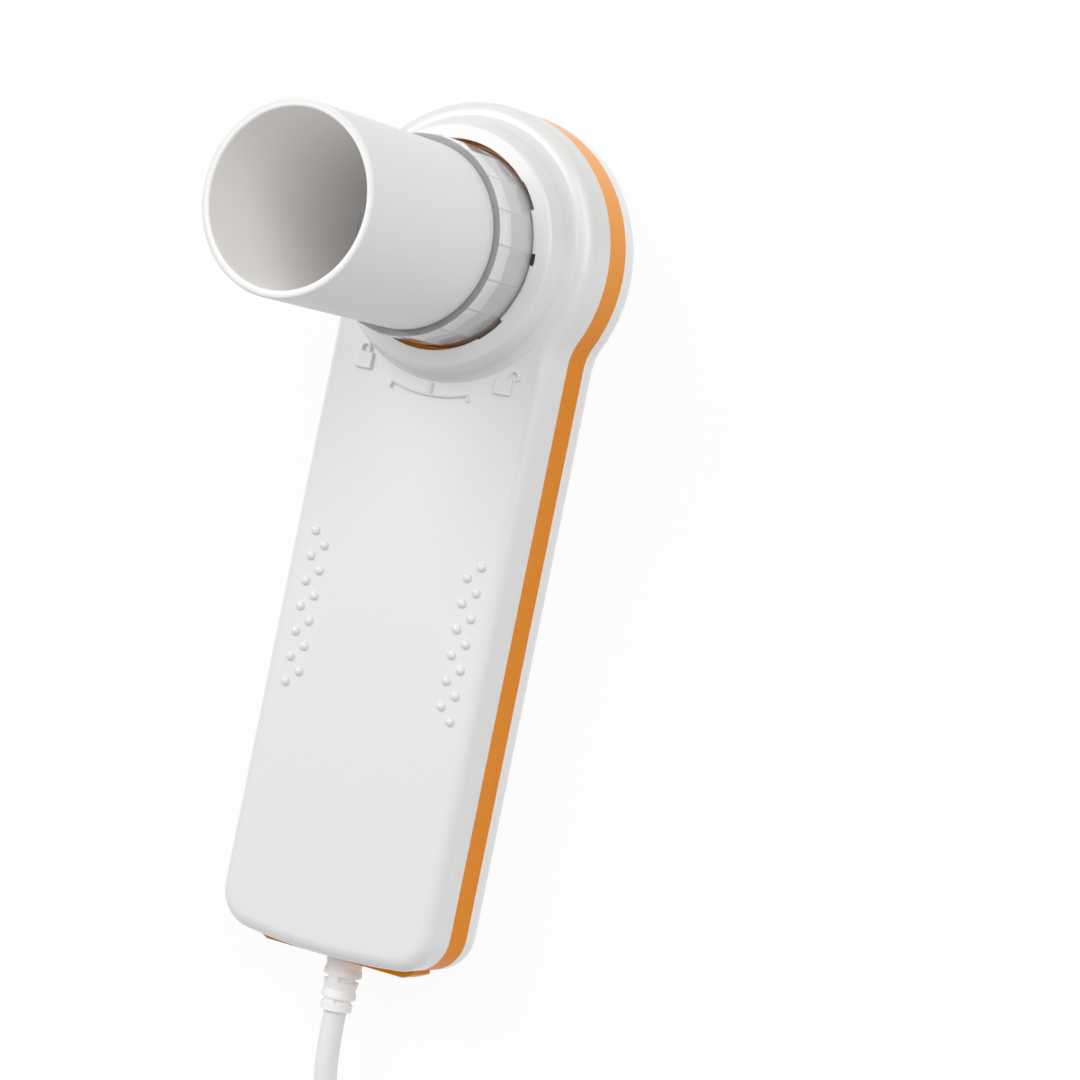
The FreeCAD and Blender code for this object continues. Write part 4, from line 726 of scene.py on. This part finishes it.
# CAD nodes that stay as they are, with a better finish
KEPT_NODES = {
    "rotor_vane": ROTOR_FILM,
    "sensor_board": BOARD,
    "main_board": BOARD,
    "controller": CHIP_EPOXY,
    "interface_chip": CHIP_EPOXY,
    "small_parts": CHIP_EPOXY,
    "board_link": CHIP_EPOXY,
    "cable_socket": NYLON,
    "plug_tongue": NYLON,
    "plug_contacts": GOLD,
}


def kept_nodes():
    for node, finish_used in KEPT_NODES.items():
        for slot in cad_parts[node].material_slots:
            slot.material = finish_used


# Shapes that several pieces are built from

QUARTERS = ((1, 1), (-1, 1), (-1, -1), (1, -1))


def mesh_of(work, name):
    """A finished bmesh as a mesh."""
    mesh = bpy.data.meshes.new(name)
    work.to_mesh(mesh)
    work.free()
    return mesh


def skin(work, rings):
    """Faces between each closed ring of points and the next."""
    count = len(rings[0])
    for a, b in zip(rings, rings[1:]):
        for k in range(count):
            after = (k + 1) % count
            work.faces.new((a[k], a[after], b[after], b[k]))


def rounded_outline(half_across, half_up, corner, steps, inset=0.0):
    """The points round a rectangle with rounded corners, each as across and up."""
    points = []
    for turn, (sx, sy) in enumerate(QUARTERS):
        for step in range(steps + 1):
            angle = math.radians(90 * (turn + step / steps))
            across = sx * (half_across - corner) + (corner - inset) * math.cos(angle)
            up = sy * (half_up - corner) + (corner - inset) * math.sin(angle)
            points.append((across, up))
    return points


# Raised signs on the front face, below the turbine

SIGN_HEIGHT = 0.58 * MM
SIGN_SINK = 0.05 * MM
SIGN_SMOOTH = 30
RIDGE_SIDES = 6
RIDGE_FULLNESS = 0.6
BLOCK_BEVEL = 0.3 * SIGN_HEIGHT
LOCK_ACROSS = 13.1 * MM
LOCK_BELOW = 20.25 * MM
LOCK_WIDTH = 3.15 * MM
LOCK_TALL = 2.8 * MM
LOCK_CORNER = 0.3 * MM
LOCK_CORNER_STEPS = 4
SHACKLE_RADIUS = 0.75 * MM
SHACKLE_LEG = 0.55 * MM
SHACKLE_LINE = 0.5 * MM
SHACKLE_FOOT = 0.1 * MM
SHACKLE_STEPS = 12
SHACKLE_MOVED = LOCK_WIDTH / 2 + 0.15 * MM
ARC_RADIUS = 23.8 * MM
ARC_HALF_ANGLE = 17.2
ARC_LINE = 0.42 * MM
ARC_STEPS = 24
TICK_OUT = 24.9 * MM
TICK_IN = 21.9 * MM
TICK_LINE = 0.9 * MM


def ridge(work, points, width):
    """A low rounded ridge along points on the face, with closed ends."""
    rings = []
    for i, point in enumerate(points):
        ahead = points[min(i + 1, len(points) - 1)] - points[max(i - 1, 0)]
        side = Vector((ahead.y, -ahead.x, 0)).normalized()
        ring = []
        for k in range(RIDGE_SIDES + 1):
            turn = math.pi * k / RIDGE_SIDES
            across = math.cos(turn) * width / 2
            up = -SIGN_SINK
            if 0 < k < RIDGE_SIDES:
                up = math.sin(turn) ** RIDGE_FULLNESS * SIGN_HEIGHT
            ring.append(work.verts.new(point + side * across + Vector((0, 0, up))))
        rings.append(ring)
    skin(work, rings)
    work.faces.new(rings[0])
    work.faces.new(rings[-1])


def rounded_block(work, centre, width, tall, corner):
    """A low block with rounded corners and a narrow bevel round its top."""
    levels = (
        (0.0, -SIGN_SINK),
        (0.0, SIGN_HEIGHT - BLOCK_BEVEL),
        (BLOCK_BEVEL, SIGN_HEIGHT),
    )
    rings = []
    for inset, up in levels:
        outline = rounded_outline(width / 2, tall / 2, corner, LOCK_CORNER_STEPS, inset)
        rings.append([work.verts.new(centre + Vector((x, y, up))) for x, y in outline])
    skin(work, rings)
    work.faces.new(rings[-1])
    work.faces.new(reversed(rings[0]))


def padlock(work, side, shift):
    """A padlock sign; shift moves its shackle across, for the open one."""
    centre = TURBINE_AXIS + Vector((side * LOCK_ACROSS, -LOCK_BELOW, FACE))
    rounded_block(work, centre, LOCK_WIDTH, LOCK_TALL, LOCK_CORNER)
    base = centre + Vector((shift, LOCK_TALL / 2, 0))
    points = [base + Vector((SHACKLE_RADIUS, -SHACKLE_FOOT, 0))]
    for step in range(SHACKLE_STEPS + 1):
        angle = math.pi * step / SHACKLE_STEPS
        bow = Vector((math.cos(angle), math.sin(angle), 0)) * SHACKLE_RADIUS
        points.append(base + Vector((0, SHACKLE_LEG, 0)) + bow)
    points.append(base + Vector((-SHACKLE_RADIUS, -SHACKLE_FOOT, 0)))
    ridge(work, points, SHACKLE_LINE)


NOTCH_HALF_ANGLE = 3.0
NOTCH_INNER = 16.3 * MM
NOTCH_OUTER = 18.2 * MM
NOTCH_LOW = 21.9 * MM
NOTCH_HIGH = 22.85 * MM
NOTCH_STEPS = 6
NOTCH_BEVEL = 0.12 * MM


def notch_painted_shade():
    """Small dark block that fills the notch in the collar's lip, as painted shade for the shadowed
    gap.
    """
    work = bmesh.new()
    rings = []
    for radius, up in (
        (NOTCH_INNER, NOTCH_LOW),
        (NOTCH_INNER, NOTCH_HIGH),
        (NOTCH_OUTER, NOTCH_HIGH),
        (NOTCH_OUTER, NOTCH_LOW),
    ):
        ring = []
        for i in range(NOTCH_STEPS + 1):
            angle = math.radians(NOTCH_HALF_ANGLE * (2 * i / NOTCH_STEPS - 1))
            out = Vector((math.cos(angle), math.sin(angle), 0)) * radius
            ring.append(work.verts.new(TURBINE_AXIS + out + Vector((0, 0, up))))
        rings.append(ring)
    for a, b in zip(rings, rings[1:] + rings[:1]):
        for i in range(NOTCH_STEPS):
            work.faces.new((a[i], a[i + 1], b[i + 1], b[i]))
    for i in (0, NOTCH_STEPS):
        work.faces.new([ring[i] for ring in rings])
    bmesh.ops.recalc_face_normals(work, faces=work.faces)
    bmesh.ops.bevel(
        work, geom=work.edges, offset=NOTCH_BEVEL, segments=2, affect="EDGES", profile=0.5
    )
    mesh = mesh_of(work, "notch_painted_shade")
    smooth(mesh, SIGN_SMOOTH)
    # Painted shade: a dark block where the notch is in shadow
    add_piece("notch_painted_shade", mesh, CHIP_EPOXY, "housing")


def on_face(radius, degrees_from_below):
    """A point on the front face, by its distance and angle from the turbine's axis."""
    angle = math.radians(degrees_from_below - 90)
    return TURBINE_AXIS + Vector((radius * math.cos(angle), radius * math.sin(angle), FACE))


def lock_signs():
    work = bmesh.new()
    padlock(work, -1, 0.0)
    padlock(work, 1, SHACKLE_MOVED)
    turns = [ARC_HALF_ANGLE * (2 * i / ARC_STEPS - 1) for i in range(ARC_STEPS + 1)]
    ridge(work, [on_face(ARC_RADIUS, turn) for turn in turns], ARC_LINE)
    for turn in (-ARC_HALF_ANGLE, ARC_HALF_ANGLE):
        ridge(work, [on_face(ARC_RADIUS, turn), on_face(TICK_OUT, turn)], ARC_LINE)
    ridge(work, [on_face(TICK_IN, 0), on_face(ARC_RADIUS, 0)], TICK_LINE)
    bmesh.ops.recalc_face_normals(work, faces=work.faces)
    mesh = mesh_of(work, "lock_signs")
    smooth(mesh, SIGN_SMOOTH)
    add_piece("lock_signs", mesh, SIGN_WHITE, "housing")


# Grip bumps: two staggered rows of low domes down each side of the face

BUMP_START = 49.0 * MM
BUMP_PITCH = 4.17 * MM
BUMP_COUNT = 7
BUMP_OUTER = 15.77 * MM
BUMP_INNER = 13.64 * MM
BUMP_RADIUS = 0.8 * MM
BUMP_HEIGHT = 0.66 * MM
BUMP_SINK = 0.04 * MM
# Distance across, start in pitches behind the first bump, and count
BUMP_ROWS = ((BUMP_OUTER, 0.0, BUMP_COUNT), (BUMP_INNER, 0.5, BUMP_COUNT - 1))


def set_inputs(modifier, values):
    """Sets a Geometry Nodes modifier's inputs by their identifiers."""
    for item in modifier.node_group.interface.items_tree:
        if item.item_type == "SOCKET" and item.in_out == "INPUT" and item.name in values:
            modifier[item.identifier] = values[item.name]


def plain_mesh(holder, label):
    """The evaluated result of an object's modifiers as a mesh of its own."""
    bpy.context.view_layer.update()
    graph = bpy.context.evaluated_depsgraph_get()
    mesh = bpy.data.meshes.new_from_object(holder.evaluated_get(graph))
    bpy.data.objects.remove(holder)
    mesh.name = label
    return mesh


def bump_tree():
    """A row of squashed balls from a start point, each a pitch after the last."""
    tree = bpy.data.node_groups.new("bump row", "GeometryNodeTree")
    tree.interface.new_socket("Geometry", in_out="INPUT", socket_type="NodeSocketGeometry")
    count = tree.interface.new_socket("Count", in_out="INPUT", socket_type="NodeSocketInt")
    count.default_value = BUMP_COUNT
    for name in ("Across", "Start", "Base", "Pitch", "Radius", "Height"):
        value_socket(tree, name)
    tree.interface.new_socket("Finish", in_out="INPUT", socket_type="NodeSocketMaterial")
    tree.interface.new_socket("Geometry", in_out="OUTPUT", socket_type="NodeSocketGeometry")
    nodes, link = tree.nodes, tree.links.new
    start = nodes.new("NodeGroupInput")
    end = nodes.new("NodeGroupOutput")
    line = nodes.new("GeometryNodeMeshLine")
    place = nodes.new("ShaderNodeCombineXYZ")
    step = nodes.new("ShaderNodeCombineXYZ")
    ball = add_node(nodes, "GeometryNodeMeshUVSphere", Segments=24, Rings=16, Radius=1.0)
    shape = nodes.new("ShaderNodeCombineXYZ")
    spread = nodes.new("GeometryNodeInstanceOnPoints")
    real = nodes.new("GeometryNodeRealizeInstances")
    even = nodes.new("GeometryNodeSetShadeSmooth")
    paint = nodes.new("GeometryNodeSetMaterial")
    link(start.outputs["Across"], place.inputs["X"])
    link(start.outputs["Start"], place.inputs["Y"])
    link(start.outputs["Base"], place.inputs["Z"])
    link(start.outputs["Pitch"], step.inputs["Y"])
    link(start.outputs["Count"], line.inputs["Count"])
    link(place.outputs["Vector"], line.inputs["Start Location"])
    link(step.outputs["Vector"], line.inputs["Offset"])
    for axis, name in (("X", "Radius"), ("Y", "Radius"), ("Z", "Height")):
        link(start.outputs[name], shape.inputs[axis])
    link(line.outputs["Mesh"], spread.inputs["Points"])
    link(ball.outputs["Mesh"], spread.inputs["Instance"])
    link(shape.outputs["Vector"], spread.inputs["Scale"])
    link(spread.outputs["Instances"], real.inputs["Geometry"])
    link(real.outputs["Geometry"], even.inputs["Geometry"])
    link(even.outputs["Geometry"], paint.inputs["Geometry"])
    link(start.outputs["Finish"], paint.inputs["Material"])
    link(paint.outputs["Geometry"], end.inputs["Geometry"])
    return tree


def grip_bumps():
    tree = bump_tree()
    meshes = []
    for side in (-1, 1):
        for across, back, count in BUMP_ROWS:
            holder = bpy.data.objects.new("bump_row", bpy.data.meshes.new("bump_row"))
            scene.collection.objects.link(holder)
            row = holder.modifiers.new("bump row", "NODES")
            row.node_group = tree
            set_inputs(
                row,
                {
                    "Count": count,
                    "Across": TURBINE_AXIS.x + side * across,
                    "Start": TURBINE_AXIS.y - BUMP_START - back * BUMP_PITCH,
                    "Base": FACE - BUMP_SINK,
                    "Pitch": -BUMP_PITCH,
                    "Radius": BUMP_RADIUS,
                    "Height": BUMP_HEIGHT,
                    "Finish": SIGN_WHITE,
                },
            )
            meshes.append(plain_mesh(holder, "bump_row"))
    work = bmesh.new()
    for mesh in meshes:
        work.from_mesh(mesh)
        bpy.data.meshes.remove(mesh)
    joined = mesh_of(work, "grip_bumps")
    joined.shade_smooth()
    add_piece("grip_bumps", joined, SIGN_WHITE, "housing")


# Cable: one curve from the strain relief, round the coil and on to the plug

CABLE_WIDTH = 3.8 * MM
COIL_CENTRE = Vector((-6.0, -133.85, 0.0)) * MM
TURN_STEPS = 16
TURN_START = -45.0
TURN_END = -360.0
# The spline passes inside its points, so the turns' points lie this much further out
SPLINE_REACH = 1.0194
LEAD_IN = [
    (0.0, -79.05, 7.4),
    (0.0, -87.4, 7.4),
    (1.2, -95.7, 6.2),
    (4.9, -103.2, 3.9),
    (10.4, -109.6, 2.2),
    (16.6, -115.6, 1.93),
    (21.0, -123.0, 1.92),
    (22.9, -131.4, 1.92),
    (21.6, -139.9, 1.92),
    (17.4, -147.3, 1.92),
]
LEAD_OUT = [
    (18.8, -134.0, 9.5),
    (19.9, -142.6, 9.2),
    (20.7, -151.2, 7.3),
    (17.9, -159.8, 5.2),
    (11.95, -166.5, 4.3),
    (3.8, -170.45, 4.1),
    (-5.2, -170.45, 4.1),
]
# Where each turn of the coil lies: distance from the middle and height
TURNS = [
    (24.8, 1.9),
    (21.0, 1.9),
    (17.2, 1.9),
    (17.2, 5.7),
    (17.2, 9.5),
    (21.0, 9.5),
    (21.0, 5.7),
    (24.8, 5.7),
    (24.8, 9.5),
]


def coil_points():
    """The turns from outside in and up, each moving over to the next in its last eighth."""
    points = []
    step = (TURN_END - TURN_START) / (TURN_STEPS - 2)
    for radius, height in TURNS:
        for i in range(TURN_STEPS - 1):
            angle = math.radians(TURN_START + i * step)
            away = Vector((math.cos(angle), math.sin(angle), 0)) * radius * SPLINE_REACH * MM
            points.append(COIL_CENTRE + away + Vector((0, 0, height * MM)))
    return points


def cable():
    data = bpy.data.curves.new("usb_lead", "CURVE")
    data.dimensions = "3D"
    data.bevel_depth = CABLE_WIDTH / 2
    data.bevel_resolution = 7
    data.resolution_u = 6
    data.use_fill_caps = True
    points = [Vector(p) * MM for p in LEAD_IN]
    points += coil_points()
    points += [Vector(p) * MM for p in LEAD_OUT]
    spline = data.splines.new("NURBS")
    spline.points.add(len(points) - 1)
    for held, point in zip(spline.points, points):
        held.co = (*point, 1.0)
    spline.order_u = 3
    spline.use_endpoint_u = True
    data.materials.append(JACKET)
    lead = bpy.data.objects.new("usb_lead", data)
    scene.collection.objects.link(lead)
    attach(lead, "housing")
    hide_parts("usb_cable", "usb_cable_end", "cable_coil")
    return lead


# Tie round the coil

TIE_OUT = 21.0 * MM
TIE_UP = 5.75 * MM
TIE_HALF = 5.95 * MM
TIE_CORNER = 2.2 * MM
TIE_CORNER_STEPS = 6
TIE_HALF_WIDTH = 1.6 * MM
TIE_LOWEST = 0.45 * MM
TIE_WALL = 0.4 * MM


def coil_tie():
    """A flat band wrapped once round the bundle of turns."""
    low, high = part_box("cable_tie")
    middle = Vector(((low.x + high.x) / 2, (low.y + high.y) / 2, 0)) - COIL_CENTRE
    outward = Vector((middle.x, middle.y, 0)).normalized()
    along = Vector((-outward.y, outward.x, 0))
    centre = COIL_CENTRE + outward * TIE_OUT + Vector((0, 0, TIE_UP))
    outline = [
        (across, max(up, TIE_LOWEST - TIE_UP))
        for across, up in rounded_outline(TIE_HALF, TIE_HALF, TIE_CORNER, TIE_CORNER_STEPS)
    ]
    work = bmesh.new()
    rings = []
    for share in (-1.0, -0.5, 0.0, 0.5, 1.0):
        side = centre + along * share * TIE_HALF_WIDTH
        rings.append(
            [work.verts.new(side + outward * a + Vector((0, 0, u))) for a, u in outline]
        )
    skin(work, rings)
    bmesh.ops.recalc_face_normals(work, faces=work.faces)
    mesh = mesh_of(work, "coil_tie")
    mesh.shade_smooth()
    piece = add_piece("coil_tie", mesh, TIE_BAND, "housing", ["cable_tie"])
    wall = piece.modifiers.new("thickness", "SOLIDIFY")
    wall.thickness = TIE_WALL
    wall.offset = 1.0
    return piece


# Floor, light and background

FLOOR_HALF = 3.0
FLOOR_DROP = 0.2 * MM
FLOOR_SEEN = 0.93
FILL = 0.46
BOX_PLACE = (0.75, 0.65, 1.1)
BOX_SIZE = 1.0
BOX_POWERS = (9.9, 7.8)


def make_floor():
    """A matt floor that takes the object's shadow, and is seen nearly as white."""
    mesh = bpy.data.meshes.new("floor")
    corners = [(sx * FLOOR_HALF, sy * FLOOR_HALF, 0) for sx, sy in QUARTERS]
    mesh.from_pydata(corners, [], [(0, 1, 2, 3)])
    material, shader = finish("white floor", Base_Color=rgb(0.88, 0.88, 0.88), Roughness=0.9)
    nodes, link = material.node_tree.nodes, material.node_tree.links.new
    share = maths(nodes, "MULTIPLY", FLOOR_SEEN)
    glow = add_node(nodes, "ShaderNodeEmission", Color=rgb(1.0, 1.0, 1.0))
    mix = nodes.new("ShaderNodeMixShader")
    link(seen_rays(nodes, link), share.inputs[0])
    link(share.outputs["Value"], mix.inputs["Fac"])
    link(shader.outputs["BSDF"], mix.inputs[1])
    link(glow.outputs["Emission"], mix.inputs[2])
    link(mix.outputs["Shader"], nodes["Material Output"].inputs["Surface"])
    mesh.materials.append(material)
    floor = bpy.data.objects.new("floor", mesh)
    floor.location.z = -FLOOR_DROP
    scene.collection.objects.link(floor)


def make_world():
    """Even white fill; what the camera sees directly or through gloss and glass is white."""
    world = bpy.data.worlds.new("studio")
    world.use_nodes = True
    scene.world = world
    nodes, link = world.node_tree.nodes, world.node_tree.links.new
    fill = nodes["Background"]
    fill_inputs(fill, {"Color": rgb(1.0, 1.0, 1.0), "Strength": FILL})
    seen = add_node(nodes, "ShaderNodeBackground", Color=rgb(1.0, 1.0, 1.0))
    mix = nodes.new("ShaderNodeMixShader")
    link(seen_rays(nodes, link), mix.inputs["Fac"])
    link(fill.outputs["Background"], mix.inputs[1])
    link(seen.outputs["Background"], mix.inputs[2])
    link(mix.outputs["Shader"], nodes["World Output"].inputs["Surface"])


def soft_light(name, place, power):
    """A large square lamp that faces the object."""
    data = bpy.data.lights.new(name, "AREA")
    data.shape = "SQUARE"
    data.size = BOX_SIZE
    data.energy = power
    lamp = bpy.data.objects.new(name, data)
    lamp.location = place
    lamp.rotation_euler = (-place).to_track_quat("-Z", "Y").to_euler()
    scene.collection.objects.link(lamp)


def make_lights():
    """Two large soft boxes, high on either side of the turbine end."""
    across, up, out = BOX_PLACE
    for name, side, power in zip(("left_box", "right_box"), (-1, 1), BOX_POWERS):
        soft_light(name, Vector((side * across, up, out)), power)


make_camera()
lead = cable()
smoothed_nodes()
kept_nodes()
lock_signs()
notch_painted_shade()
grip_bumps()
tie = coil_tie()
make_floor()
make_world()
make_lights()
scene.view_settings.view_transform = "Standard"
